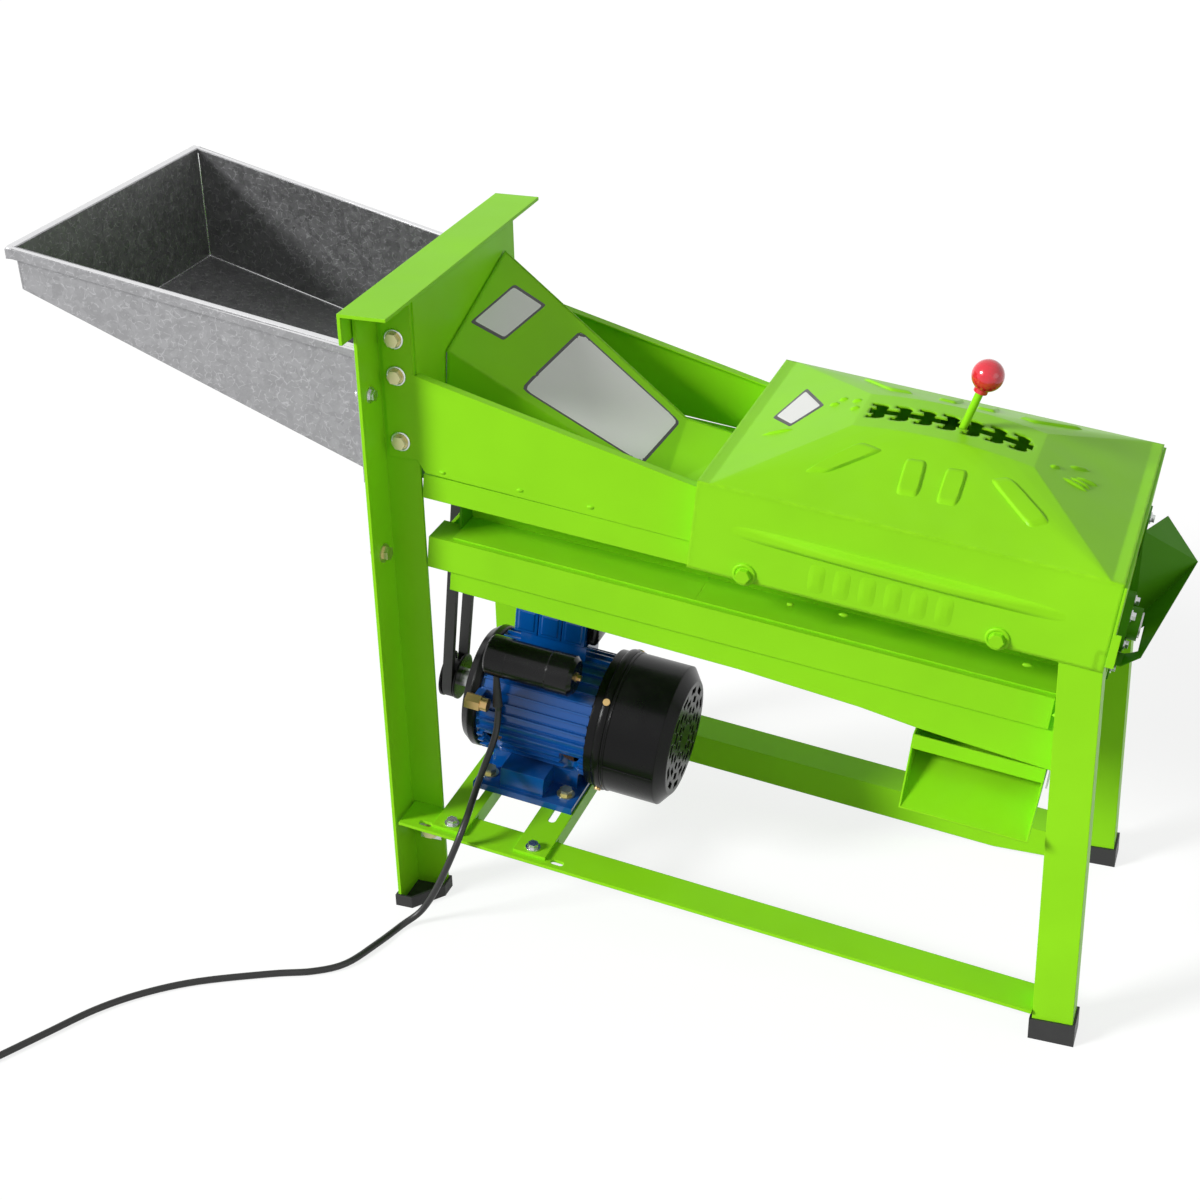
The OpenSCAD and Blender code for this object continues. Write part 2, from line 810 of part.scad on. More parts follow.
module grain_spout() {
  a = [spout_x0, spout_y1, spout_back_z];
  b = [spout_x1, spout_y1, spout_back_z];
  c = [spout_x1 + 1, spout_lip_y, spout_lip_z];
  d = [spout_x0 + spout_flare, spout_lip_y, spout_lip_z];
  color("limegreen") sloped() difference() {
    union() {
      translate([spout_x0, tray_y0, spout_band])
        cube([spout_x1 - spout_x0, sheet_t, spout_top - spout_band]);
      spout_cheek(spout_x0, spout_flare, sheet_t);
      spout_cheek(spout_x1 - sheet_t, 1, sheet_t);
      translate([spout_x0, spout_y1 - sheet_t, spout_back_z - 1.6])
        cube([spout_x1 - spout_x0, sheet_t, spout_top - spout_back_z + 1.6]);
      panel([a, b, c], [0, 0, -sheet_t]);
      panel([a, c, d], [0, 0, -sheet_t]);
      translate([spout_x1 - 1, 24, -104]) cube([4 - touch, 30, 8]);
    }
    translate([spout_x1 - 10, 39, -100]) rotate([0, 90, 0]) cylinder(d = 6 + hole_fit, h = 20);
  }
}

// A slotted strap holds the spout under the tray's right end
strap_x = spout_x1 + 3;
module spout_strap() {
  color("gray") sloped() difference() {
    translate([strap_x, 20, -128]) cube([sheet_t, 38, 34]);
    translate([strap_x - 5, 39, -100]) rotate([0, 90, 0]) cylinder(d = 6 + hole_fit, h = 15);
    for (i = [0:3])
      translate([strap_x - 5, 28 + 7 * i, -116]) rotate([0, 90, 0]) cylinder(d = 4, h = 15);
  }
}

module bolt_px(x, y, z, d, grip, extra = 3) {
  // A bolt whose head faces +X at x, with its nut on the other side of the grip
  translate([x, y, z]) rotate([0, 90, 0]) {
    hex_bolt(d, grip + 0.8 * d + extra);
    hex_nut(d, -grip - touch);
  }
}

module bolt_mx(x, y, z, d, grip, extra = 3) {
  translate([x, y, z]) rotate([0, -90, 0]) {
    hex_bolt(d, grip + 0.8 * d + extra);
    hex_nut(d, -grip - touch);
  }
}

module bolt_my(x, y, z, d, grip, extra = 3) {
  translate([x, y, z]) rotate([90, 0, 0]) {
    hex_bolt(d, grip + 0.8 * d + extra);
    hex_nut(d, -grip - touch);
  }
}

module both_sides() {
  children();
  translate([0, bay_w, 0]) mirror([0, 1, 0]) children();
}

// Bolts of the left legs: side panels, stretcher plates and one spare hole
module leg_bolts() {
  color("khaki") placed() both_sides() {
    for (z = panel_bolt_z) bolt_my(panel_bolt_x, -sheet_t - touch, z, 10, sheet_t + iron_t + touch);
    bolt_px(touch, -leg_d / 2, hook_bolt_z, 10, iron_t + touch);
    bolt_my(tie_bolt_x, -3 - 2 * touch, tie_bolt_z, 10, 3 + iron_t + 2 * touch);
  }
}

module tie_plates() {
  color("silver") placed() both_sides() difference() {
    translate([tie_bolt_x - 14, -3 - touch, tie_bolt_z - 13]) cube([28, 3, 24]);
    translate([tie_bolt_x, 10, tie_bolt_z]) rotate([90, 0, 0]) cylinder(d = 10 + hole_fit, h = 30);
  }
}

// M8 bolts: bars to stretchers, hopper to legs
module bar_bolts() {
  grip = iron_t + sheet_t + 1.1;
  color("silver") placed() both_sides() bolt_px(touch, -leg_d / 2 - 4, hop_bolt_z, 8, grip);
  color("silver") sloped() for (x = bar_x, y = [stretch_y1 - 28, bay_w - stretch_y1 + 28])
    translate([x + bar_bolt_x, y, bar_top + touch]) {
      hex_bolt(8, 2 * iron_t + 8);
      hex_nut(8, -2 * iron_t - 2 * touch);
    }
}

module motor_bolts() {
  color("khaki") sloped() for (x = foot_x, y = [mid_y - foot_gauge / 2, mid_y + foot_gauge / 2])
    translate([x, y, foot_z + foot_t + touch]) {
      hex_bolt(10, foot_t + iron_t + 10);
      hex_nut(10, -foot_t - iron_t - 3 * touch);
    }
}

// M10 screws that go into the threaded bosses of the upper rails
module cover_bolts() {
  color("palegreen") sloped() both_sides()
    for (x = cover_bolt_x)
      translate([x, -cover_out - touch, cover_bolt_z]) rotate([90, 0, 0]) hex_bolt(10, cover_out + 2);
}

// M6 bolts: bearings, cob chute and spout strap
module small_bolts() {
  brg_grip = brg_flange_t + plate_t + 0.1;
  color("silver") sloped() {
    for (p = chute_bolts_at)
      bolt_px(chute_x + sheet_t + touch, p[0], p[1], 6, sheet_t + plate_t + 3 * touch);
    for (a = [45:90:315]) {
      y = mid_y - brg_bolt_r * sin(a);
      z = axis_z + brg_bolt_r * cos(a);
      bolt_mx(brg_x0 + brg_flange - 2 * touch, y, z, 6, brg_grip, -0.5);
      bolt_px(brg_x1 + brg_flange_t + 2 * touch, y, z, 6, brg_grip, -0.5);
    }
    bolt_px(strap_x + sheet_t + touch, 39, -100, 6, strap_x + 2 * sheet_t - spout_x1 + 2 * touch, 1);
  }
}

// Flanged bearing housings: a thick flange with a hub, outside each end plate
brg_flange_t = 9;
brg_flange = brg_l - brg_flange_t;
module bearing_unit() {
  difference() {
    union() {
      cylinder(r = brg_r, h = brg_flange_t);
      cylinder(r = 19, h = brg_l);
    }
    translate([0, 0, -1]) cylinder(r = shaft_d / 2 + run_fit, h = brg_l + 2);
    for (a = [45:90:315]) rotate([0, 0, a]) translate([brg_bolt_r, 0, -1])
      cylinder(d = 6 + hole_fit, h = brg_l);
  }
}

module bearings() {
  color("dimgray") sloped() {
    translate([left_plate_x - touch, mid_y, axis_z]) rotate([0, -90, 0]) bearing_unit();
    translate([brg_x1 + touch, mid_y, axis_z]) rotate([0, 90, 0]) bearing_unit();
  }
}

// Lever: the shaft turns in two ears under the roof
module at_lever() {
  sloped() translate([pivot_x, mid_y, pivot_z]) rotate([0, lever_rest, 0]) children();
}

ear_y = flap_w / 2 + 2;
module lever_shaft() {
  color("silver") at_lever() translate([0, -ear_y - 9, 0]) rotate([-90, 0, 0])
    cylinder(d = pivot_d, h = 2 * ear_y + 18);
}

module lever_rod() {
  color("silver") at_lever() difference() {
    union() {
      cylinder(d = rod_d, h = lever_len + 6);
      translate([0, -12, 0]) rotate([-90, 0, 0]) cylinder(d = pivot_d + 10, h = 24);
    }
    translate([0, -20, 0]) rotate([-90, 0, 0]) cylinder(d = pivot_d + 2 * touch, h = 40);
  }
}

module lever_knob() {
  color("red") at_lever() difference() {
    union() {
      translate([0, 0, lever_len]) sphere(d = knob_d);
      translate([0, 0, lever_len - knob_d / 2 - 3]) cylinder(d = rod_d + 7, h = 8);
    }
    cylinder(d = rod_d + 2 * touch, h = lever_len + 6 + touch);
  }
}

module lever_flap() {
  color("gray") at_lever() difference() {
    union() {
      for (y = [-flap_w / 2, 14]) translate([0, y, 0]) rotate([-90, 0, 0])
        cylinder(d = pivot_d + 6, h = flap_w / 2 - 14);
      translate([-2, -flap_w / 2, -flap_depth - 6]) cube([4, flap_w / 2 - 14, flap_depth + 6]);
      translate([-2, 14, -flap_depth - 6]) cube([4, flap_w / 2 - 14, flap_depth + 6]);
      translate([-2, -flap_w / 2, -flap_depth - 6]) cube([4, flap_w, flap_depth - 8]);
    }
    translate([0, -flap_w, 0]) rotate([-90, 0, 0]) cylinder(d = pivot_d + 2 * touch, h = 2 * flap_w);
  }
}

module lever_bracket() {
  color("green") sloped() difference() {
    intersection() {
      for (s = [-1, 1])
        translate([pivot_x - 16, mid_y + s * (ear_y + 2.5) - 2, pivot_z - 14]) cube([32, 4, 90]);
      roof_body(-sheet_t - touch);
    }
    translate([pivot_x, 0, pivot_z]) rotate([-90, 0, 0]) cylinder(d = pivot_d + 2 * run_fit, h = bay_w);
  }
}

// Drum: a tube with screw blades at the inlet and rows of teeth under the cover
module drum() {
  color("dimgray") sloped() translate([0, mid_y, axis_z]) difference() {
    union() {
      translate([drum_x0, 0, 0]) rotate([0, 90, 0]) difference() {
        cylinder(r = core_r, h = drum_x1 - drum_x0);
        translate([0, 0, 6]) cylinder(r = core_r - core_t, h = drum_x1 - drum_x0 - 12);
      }
      for (i = [0:screw_n - 1])
        translate([drum_x0 + 14 + i * 21, 0, 0]) rotate([i * 90, 0, 0])
          translate([0, -26, core_r - 4]) cube([blade_t, 52, screw_r - core_r]);
      for (i = [0:tooth_rings - 1], k = [0:3])
        translate([teeth_x0 + i * (teeth_x1 - teeth_x0) / tooth_rings, 0, 0])
          rotate([k * 90 + i * 30, 0, 0])
          translate([0, -6, core_r - 4]) cube([tooth_w, 12, sqrt(drum_r * drum_r - 36) - core_r + 4]);
    }
    translate([drum_x0 - 10, 0, 0]) rotate([0, 90, 0]) cylinder(r = shaft_d / 2 + touch, h = 900);
  }
}

module drum_shaft() {
  color("silver") sloped() translate([shaft_x0, mid_y, axis_z]) rotate([0, 90, 0])
    cylinder(d = shaft_d, h = shaft_x1 - shaft_x0);
}

// A pulley with a groove for the belt, turned about X
groove_deep = belt_t + 1.5;
module pulley(r, bore) {
  half = pulley_w / 2;
  low = belt_w / 2 + belt_fit;
  rotate([0, 90, 0]) rotate_extrude() polygon([
    [bore / 2 + touch, -half], [r, -half], [r, -low - 1.2], [r - groove_deep, -low],
    [r - groove_deep, low], [r, low + 1.2], [r, half], [bore / 2 + touch, half]
  ]);
}

module drum_pulley() {
  color("dimgray") sloped() translate([belt_x, mid_y, axis_z]) pulley(drum_pulley_r, shaft_d);
}

module motor_pulley() {
  color("dimgray") sloped() translate([belt_x, mid_y, motor_axis_z])
    pulley(motor_pulley_r, motor_shaft_d);
}

belt_span = axis_z - motor_axis_z;
module belt_outline(r1, r2) {
  s = (r1 - r2) / belt_span;
  // An arc round each pulley, joined by the two tangents
  tilt = asin(s);
  steps = 24;
  polygon(concat(
    [for (i = [0:steps]) let(a = tilt + i * (180 - 2 * tilt) / steps) [r1 * cos(a), r1 * sin(a)]],
    [for (i = [0:steps]) let(a = 180 - tilt + i * (180 + 2 * tilt) / steps)
      [r2 * cos(a), r2 * sin(a) - belt_span]]
  ));
}

module drive_belt() {
  gap = groove_deep - belt_fit;
  color("black") sloped() translate([belt_x - belt_w / 2, mid_y, axis_z]) rotate([90, 0, 90])
    linear_extrude(belt_w) difference() {
      belt_outline(drum_pulley_r - gap + belt_t, motor_pulley_r - gap + belt_t);
      belt_outline(drum_pulley_r - gap, motor_pulley_r - gap);
    }
}

// Motor
foot_z = bar_top + touch;
cap_y = 85;
cap_z = -194;
cap_r = 26;
cap_x0 = 101;
cap_l = 116;
gland_y = 62;
gland_z = -254;

module at_motor() {
  sloped() translate([0, mid_y, motor_axis_z]) children();
}

module motor_frame() {
  core = motor_r - fin_h;
  rise = cap_z - motor_axis_z;
  side = mid_y - cap_y;
  color("royalblue") at_motor() difference() {
    union() {
      translate([motor_x0, 0, 0]) rotate([0, 90, 0]) cylinder(r = core, h = motor_len);
      for (i = [0:fin_n - 1])
        translate([motor_x0 + 3, 0, 0]) rotate([i * 360 / fin_n, 0, 0])
          translate([0, -1.25, core - 2]) cube([motor_len - 6, 2.5, fin_h + 1.9]);
      // Feet, pedestal and the boss between the near bolts
      translate([foot_x[0] - 12, -foot_half, foot_z - motor_axis_z]) cube([134, 2 * foot_half, foot_t]);
      translate([foot_x[0] - 4, -52, foot_z - motor_axis_z + 1]) cube([116, 104, 50]);
      translate([foot_x[0] + 22, -foot_half + 6, foot_z - motor_axis_z + 1])
        cube([58, 2 * foot_half - 12, 36]);
      // Seat of the terminal box and saddle of the capacitor
      translate([120, -8, 60]) cube([88, 50, 38 - touch]);
      rotate([atan2(side, rise), 0, 0]) translate([cap_x0 + 22, -11, core - 4]) cube([62, 22, 16]);
      // Lug that holds the gland
      translate([motor_x0, gland_y - mid_y, gland_z - motor_axis_z - 8]) cube([10, 30, 16]);
    }
    translate([80, gland_y - mid_y, gland_z - motor_axis_z]) rotate([0, 90, 0])
      cylinder(d = 22 + 2 * touch, h = 60, $fn = 6);
    translate([motor_x0 - 1, 0, 0]) rotate([0, 90, 0]) cylinder(r = core - frame_t, h = motor_len + 2);
    translate([0, cap_y - mid_y, rise]) rotate([0, 90, 0]) cylinder(r = cap_r + touch, h = 400);
    for (x = foot_x, y = [-foot_gauge / 2, foot_gauge / 2]) {
      translate([x, y, foot_z - motor_axis_z - 1]) cylinder(d = 10 + hole_fit, h = 40);
      translate([x, y, foot_z - motor_axis_z + foot_t]) cylinder(r = 13, h = 60);
    }
  }
}

module stator() {
  color("sienna") at_motor() translate([motor_x0 + 20, 0, 0]) rotate([0, 90, 0]) difference() {
    cylinder(r = motor_r - fin_h - frame_t - touch, h = motor_len - 40);
    translate([0, 0, -1]) cylinder(r = 51, h = motor_len);
  }
}

module rotor() {
  color("silver") at_motor() translate([motor_x0 + 22, 0, 0]) rotate([0, 90, 0]) difference() {
    cylinder(r = 50.4, h = motor_len - 44);
    translate([0, 0, -1]) cylinder(r = motor_shaft_d / 2 + touch, h = motor_len);
  }
}

motor_shaft_x0 = 15;
fan_x = 272;
module motor_shaft() {
  color("silver") at_motor() translate([motor_shaft_x0, 0, 0]) rotate([0, 90, 0])
    cylinder(d = motor_shaft_d, h = fan_x + 24 - motor_shaft_x0);
}

module bell_left() {
  r0 = motor_shaft_d / 2 + run_fit;
  core = motor_r - fin_h;
  color("black") at_motor() translate([motor_x0 - touch, 0, 0]) rotate([0, -90, 0]) rotate_extrude()
    polygon([
    [r0, 0], [core + 4, 0], [core + 5, 2], [core + 5, 10], [core - 2, 20], [40, 24], [26, bell_l],
    [22, bell_l + 6], [r0, bell_l + 6]
  ]);
}

// The rear end ring carries the cowl
module bell_right() {
  r0 = motor_shaft_d / 2 + run_fit;
  color("black") at_motor() translate([motor_x1 + touch, 0, 0]) rotate([0, 90, 0]) rotate_extrude()
    polygon([
    [r0, 0], [cowl_r - 2, 0], [cowl_r - 2, 11], [cowl_r - cowl_t - touch, 11],
    [cowl_r - cowl_t - touch, 20], [70, 20], [60, 12], [r0, 16]
  ]);
}

module fan() {
  color("gray") at_motor() translate([fan_x, 0, 0]) rotate([0, 90, 0]) difference() {
    union() {
      cylinder(r = 70, h = 2.5);
      cylinder(r = 20, h = 22);
      for (a = [0:45:315]) rotate([0, 0, a]) translate([14, -1.2, 0]) cube([54, 2.4, 20]);
    }
    translate([0, 0, -1]) cylinder(r = motor_shaft_d / 2 + touch, h = 40);
  }
}

cowl_a = motor_x1 + 11.3;
cowl_end = 346;
module fan_cowl() {
  color("black") at_motor() difference() {
    translate([cowl_a, 0, 0]) rotate([0, 90, 0]) difference() {
      rotate_extrude() polygon([
        [0, 0], [cowl_r, 0], [cowl_r, cowl_end - cowl_a - 12], [cowl_r - 16, cowl_end - cowl_a],
          [0, cowl_end - cowl_a]
      ]);
      rotate_extrude() polygon([
        [0, -1], [cowl_r - cowl_t, -1], [cowl_r - cowl_t, cowl_end - cowl_a - 13],
        [cowl_r - 17, cowl_end - cowl_a - cowl_t], [0, cowl_end - cowl_a - cowl_t]
      ]);
    }
    // Air slots in the end face
    for (a = [0:30:330], r = [24, 37, 50, 63])
      rotate([a + 15 * (r % 2), 0, 0]) translate([cowl_end - 10, -r / 7, r - 4]) cube([20, r / 3.5, 8]);
    for (a = [45:90:315]) rotate([a, 0, 0]) translate([cowl_a + 5, 0, 70])
      cylinder(d = 5 + hole_fit, h = 40);
  }
}

// Short screws hold the cowl to the end ring, and one closes the capacitor
module brass_screws() {
  color("gold") sloped() translate([cap_x0 + cap_l + touch, cap_y, cap_z]) rotate([0, 90, 0]) {
    cylinder(d = 12, h = 1.5);
    cylinder(d = 8, h = 6, $fn = 6);
  }
  color("gold") at_motor() for (a = [45:90:315])
    rotate([a, 0, 0]) translate([cowl_a + 5, 0, cowl_r + touch]) {
      translate([0, 0, -cowl_t]) cylinder(d = 5, h = cowl_t + 1);
      cylinder(d = 9, h = 4);
    }
}

module terminal_box() {
  color("royalblue") at_motor() {
    translate([114, -8, 98]) cube([100, 58, 30]);
    for (i = [0:2]) translate([116 + 33 * i, -9.5, 100]) cube([30, 4, 26]);
    translate([112, -10, 128]) cube([104, 62, 5]);
  }
}

module capacitor() {
  color("black") sloped() translate([cap_x0, cap_y, cap_z]) rotate([0, 90, 0]) rotate_extrude() polygon([
    [0, 0], [cap_r - 3, 0], [cap_r, 3], [cap_r, 28], [cap_r - 0.8, 29], [cap_r - 0.8, cap_l - 34],
    [cap_r, cap_l - 33], [cap_r, cap_l - 5], [cap_r - 5, cap_l], [0, cap_l]
  ]);
}

// The gland stands on a lug of the frame, beside the strain relief
module cable_gland() {
  color("peru") sloped() translate([0, gland_y, gland_z]) {
    translate([84, 0, 0]) rotate([0, 90, 0]) cylinder(d = 22, h = 20, $fn = 6);
    translate([104, 0, 0]) rotate([0, 90, 0]) cylinder(d = 17, h = 9);
  }
}

// Hopper: sheet walls, a floor that falls to the inlet and a facet on the near side
near_rim_out = mid_y - hopper_w / 2;
far_rim_out = mid_y + hopper_w / 2;
near_in = mid_y - hop_in_half;
far_in = mid_y + hop_in_half;
module hopper() {
  rn = [hop_x0, near_rim_out, hopper_h];
  rf = [hop_x0, far_rim_out, hopper_h];
  rn1 = [hop_x1, near_in, hop_rim_in];
  rf1 = [hop_x1, far_in, hop_rim_in];
  bn = [hop_x0 + 2, near_rim_out, hop_near_out];
  bc = [hop_x0 + 8, hop_crease_out, hop_far_out];
  bf = [hop_x0 + 8, far_rim_out - 12, hop_far_out];
  bn1 = [hop_x1, near_in, hop_floor_in + 4];
  bc1 = [hop_x1, hop_crease_in, hop_floor_in];
  bf1 = [hop_x1, far_in, hop_floor_in];
  // Each sheet is thickened inward, so neighbours overlap along their fold
  out = [0, sheet_t, 0];
  far = [0, -sheet_t, 0];
  left = [sheet_t, 0, 0];
  low = [0, 0, sheet_t];
  color("gainsboro") placed() difference() {
    union() {
      panel([rn, rn1, bn1], out);
      panel([rn, bn1, bn], out);
      panel([rf, rf1, bf1], far);
      panel([rf, bf1, bf], far);
      panel([rn, rf, bf], left);
      panel([rn, bf, bc], left);
      panel([rn, bc, bn], left);
      panel([bn, bc, bc1], low);
      panel([bn, bc1, bn1], low);
      panel([bc, bf, bf1], low);
      panel([bc, bf1, bc1], low);
      // Hems along the rim
      panel([rn, rn1, rn1 + [0, -rim_w, 0], rn + [0, -rim_w, 0]], [0, 0, -rim_h]);
      panel([rf, rf1, rf1 + [0, rim_w, 0], rf + [0, rim_w, 0]], [0, 0, -rim_h]);
      translate([hop_x0 - rim_w, near_rim_out - rim_w, hopper_h - rim_h])
        cube([rim_w + 1.2, hopper_w + 2 * rim_w, rim_h]);
      // End flanges against the legs, and the tongue between them
      translate([hop_x1 - 1, -leg_d + 4, hop_floor_in + 4])
        cube([sheet_t + 1, near_in + leg_d - 3, hop_rim_in - hop_floor_in - 6]);
      translate([hop_x1 - 1, far_in - 1, hop_floor_in + 4])
        cube([sheet_t + 1, bay_w + leg_d - far_in - 3, hop_rim_in - hop_floor_in - 6]);
      translate([hop_x1 - 8, iron_t + 1, hop_floor_in]) cube([22, bay_w - 2 * iron_t - 2, sheet_t]);
    }
    for (y = [-leg_d / 2 - 4, bay_w + leg_d / 2 + 4])
      translate([-20, y, hop_bolt_z]) rotate([0, 90, 0]) cylinder(d = 8 + hole_fit, h = 40);
  }
}

// Cord route on the machine and the floor, in the stand's own frame
cord_r = cord_d / 2;
cord_z = cord_r + 0.05;
cord_exit = [93, 70, 243];
cord_way = [
  cord_exit, [93, 70, 233], [92, 58, 204], [89, 12, 170], [93, -56, 139], [68, -72, 71], [42, -76, 22],
  [20, -94, cord_z], [6, -138, cord_z], [-13, -184, cord_z], [-44, -210, cord_z], [-91, -231, cord_z],
  [-168, -272, cord_z], [-219, -312, cord_z], [-257, -356, cord_z], [-288, -409, cord_z],
  [-312, -451, cord_z], [-339, -497.5, cord_z]
];
coil_in = [-367, -546];
coil_heading = 240;
coil_r0 = 55;
coil_step = 9.3;
coil_rise = 9.5;
coil_turns = 3 + 5 / 12;
coil_tail = 30;
coil_c = [coil_in[0] + coil_r0 * cos(150), coil_in[1] + coil_r0 * sin(150)];
coil_dir = [cos(coil_heading), sin(coil_heading), 0];
cord_end = [coil_in[0] - cord_d * coil_dir[0], coil_in[1] - cord_d * coil_dir[1], cord_z];
plug_at = [coil_c[0] - coil_r0, coil_c[1] + coil_tail, cord_z + coil_rise];

function unit(v) = v / norm(v);
function spline(p0, p1, p2, p3, t) =
  0.5 * (2 * p1 + (p2 - p0) * t + (2 * p0 - 5 * p1 + 4 * p2 - p3) * t * t + (3 * p1 - p0 - 3 * p2
    + p3) * t * t * t);
cord_steps = 4;
cord_knots = concat([cord_exit + [0, 0, 20]], cord_way, [cord_end, cord_end + 30 * coil_dir]);
cord_path = concat(
  [for (i = [1:len(cord_knots) - 3], k = [0:cord_steps - 1])
    spline(cord_knots[i - 1], cord_knots[i], cord_knots[i + 1], cord_knots[i + 2], k / cord_steps)],
  [cord_end]
);

// Coil: it spirals in on the floor, climbs where the spiral turns and spirals out above
function smooth(t) = t <= 0 ? 0 : t >= 1 ? 1 : t * t * (3 - 2 * t);
function coil_point(u) =
  let(mid = coil_turns / 2)
  let(r = coil_r0 - coil_step * (mid - abs(u - mid)))
  let(a = -30 - 360 * u)
  [coil_c[0] + r * cos(a), coil_c[1] + r * sin(a), cord_z + coil_rise * smooth((u - mid + 0.25) / 0.5)];
coil_rings = 82;
coil_path = concat(
  [cord_end],
  [for (i = [0:coil_rings]) coil_point(i * coil_turns / coil_rings)],
  [plug_at + [0, 9 - coil_tail, 0], plug_at]
);

function tangent(path, i) =
  i == 0 ? unit(path[1] - path[0])
  : i == len(path) - 1 ? unit(path[i] - path[i - 1])
  : unit(unit(path[i + 1] - path[i]) + unit(path[i] - path[i - 1]));
// Side vectors are carried along the path so that the tube doesn't twist
function carry(path, i, side) =
  i == len(path) ? []
  : let(t = tangent(path, i))
    let(s = unit(side - (side * t) * t))
    concat([[s, cross(t, s)]], carry(path, i + 1, s));
function tube_points(path, r, n, side) =
  let(frames = carry(path, 0, side))
  [for (i = [0:len(path) - 1], k = [0:n - 1])
    path[i] + r * (cos(360 * k / n) * frames[i][0] + sin(360 * k / n) * frames[i][1])];
function tube_faces(rings, n) = concat(
  [[for (k = [0:n - 1]) k]],
  [for (i = [0:rings - 2], k = [0:n - 1]) [i * n + k, i * n + n + k, i * n + n + (k + 1) % n]],
  [for (i = [0:rings - 2], k = [0:n - 1]) [i * n + k, i * n + n + (k + 1) % n, i * n + (k + 1) % n]],
  [[for (k = [n - 1:-1:0]) (rings - 1) * n + k]]
);

module tube(path, r, n, side) {
  polyhedron(points = tube_points(path, r, n, side), faces = tube_faces(len(path), n));
}

module cord() { color("black") placed() tube(cord_path, cord_r, 8, [1, 0, 0]); }
module cord_coil() { color("black") placed() tube(coil_path, cord_r, 6, [0, 0, 1]); }

module strain_relief() {
  color("black") placed() difference() {
    translate(cord_exit + [0, 0, 0.4]) cylinder(r1 = 6.3, r2 = 3.4, h = 51.6);
    translate([0, cap_y, rail_h]) rotate([0, body_slope, 0]) translate([0, 0, cap_z]) rotate([0, 90, 0])
      cylinder(r = cap_r + touch, h = 400);
  }
}

// Moulded plug with three flat pins
module plug() {
  color("black") placed() translate(plug_at) rotate([-90, 0, 0]) {
    cylinder(r1 = 5.2, r2 = 8, h = 26);
    translate([-17, -12.5, 26]) cube([34, 25, 34]);
    translate([-14, -10.5, 59]) cube([28, 21, 6]);
    for (x = [-9.5, 3.5]) translate([x, 1, 60]) cube([6, 1.6, 22]);
    translate([-0.8, -8, 60]) cube([1.6, 6, 24]);
  }
}

// The least gap between tubes of the coil, over loops more than a third of a turn apart
coil_gaps = [for (i = [0:len(coil_path) - 1], j = [i
  + 8:1:len(coil_path) - 1]) norm(coil_path[i] - coil_path[j])];
coil_gap = min(coil_gaps) - cord_d;
function path_len(path, i = 1) = i >= len(path) ? 0 : norm(path[i] - path[i - 1]) + path_len(path, i + 1);
echo(coil_least_gap = coil_gap, cord_length = path_len(cord_path), coil_length = path_len(coil_path));
echo(world_of_origin = [origin_x, origin_y], coil_middle = coil_c, plug = plug_at);

leg_front_left();
leg_rear_left();
leg_front_right();
leg_rear_right();
leg_caps();
leg_boots();
header_angle();
base_frame();
upper_rails();
stretcher_front();
stretcher_rear();
mount_bars();
side_panel_front();
side_panel_rear();
inlet_frame();
trough();
sieve();
end_plate_left();
end_plate_right();
throat_hood();
top_cover();
cob_chute();
grain_tray();
grain_spout();
spout_strap();
hopper();
lever_bracket();
lever_shaft();
lever_rod();
lever_knob();
lever_flap();
drum();
drum_shaft();
bearings();
drum_pulley();
motor_pulley();
drive_belt();
motor_frame();
stator();
rotor();
motor_shaft();
bell_left();
bell_right();
fan();
fan_cowl();
terminal_box();
capacitor();
cable_gland();
strain_relief();
cord();
cord_coil();
plug();
leg_bolts();
tie_plates();
bar_bolts();
motor_bolts();
cover_bolts();
small_bolts();
brass_screws();
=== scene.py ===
# Looks of the electric corn sheller: camera, cord, stage, finishes and the pressed and welded detail
import math

import bpy
from mathutils import Matrix, Vector


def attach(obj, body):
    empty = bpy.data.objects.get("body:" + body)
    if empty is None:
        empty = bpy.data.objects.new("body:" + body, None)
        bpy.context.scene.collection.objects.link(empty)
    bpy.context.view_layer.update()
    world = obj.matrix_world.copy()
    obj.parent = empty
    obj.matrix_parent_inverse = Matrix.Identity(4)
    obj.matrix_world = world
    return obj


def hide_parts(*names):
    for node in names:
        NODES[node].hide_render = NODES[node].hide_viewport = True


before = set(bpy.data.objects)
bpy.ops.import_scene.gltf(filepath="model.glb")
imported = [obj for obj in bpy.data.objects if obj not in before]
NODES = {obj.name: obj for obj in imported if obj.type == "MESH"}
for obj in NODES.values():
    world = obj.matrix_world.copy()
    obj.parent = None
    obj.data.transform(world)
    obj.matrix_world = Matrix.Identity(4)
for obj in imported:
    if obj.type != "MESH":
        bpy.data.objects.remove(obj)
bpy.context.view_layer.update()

bl_info = {
    "name": "Corn Sheller Finish",
    "version": (1, 0, 0),
    "blender": (4, 5, 0),
    "location": "3D View > Sidebar > Sheller",
    "description": "Finishes, pressed and welded detail, cord and stage for an electric corn sheller",
    "category": "Object",
}

MM = 0.001
# The part's origin seen from the stand, and where the sloping body hangs on it, in mm
STAND_ORIGIN = Vector((231.337, 151.0, 0.0))
BODY_HEIGHT = 512.0
BODY_SLOPE = math.radians(6.5)

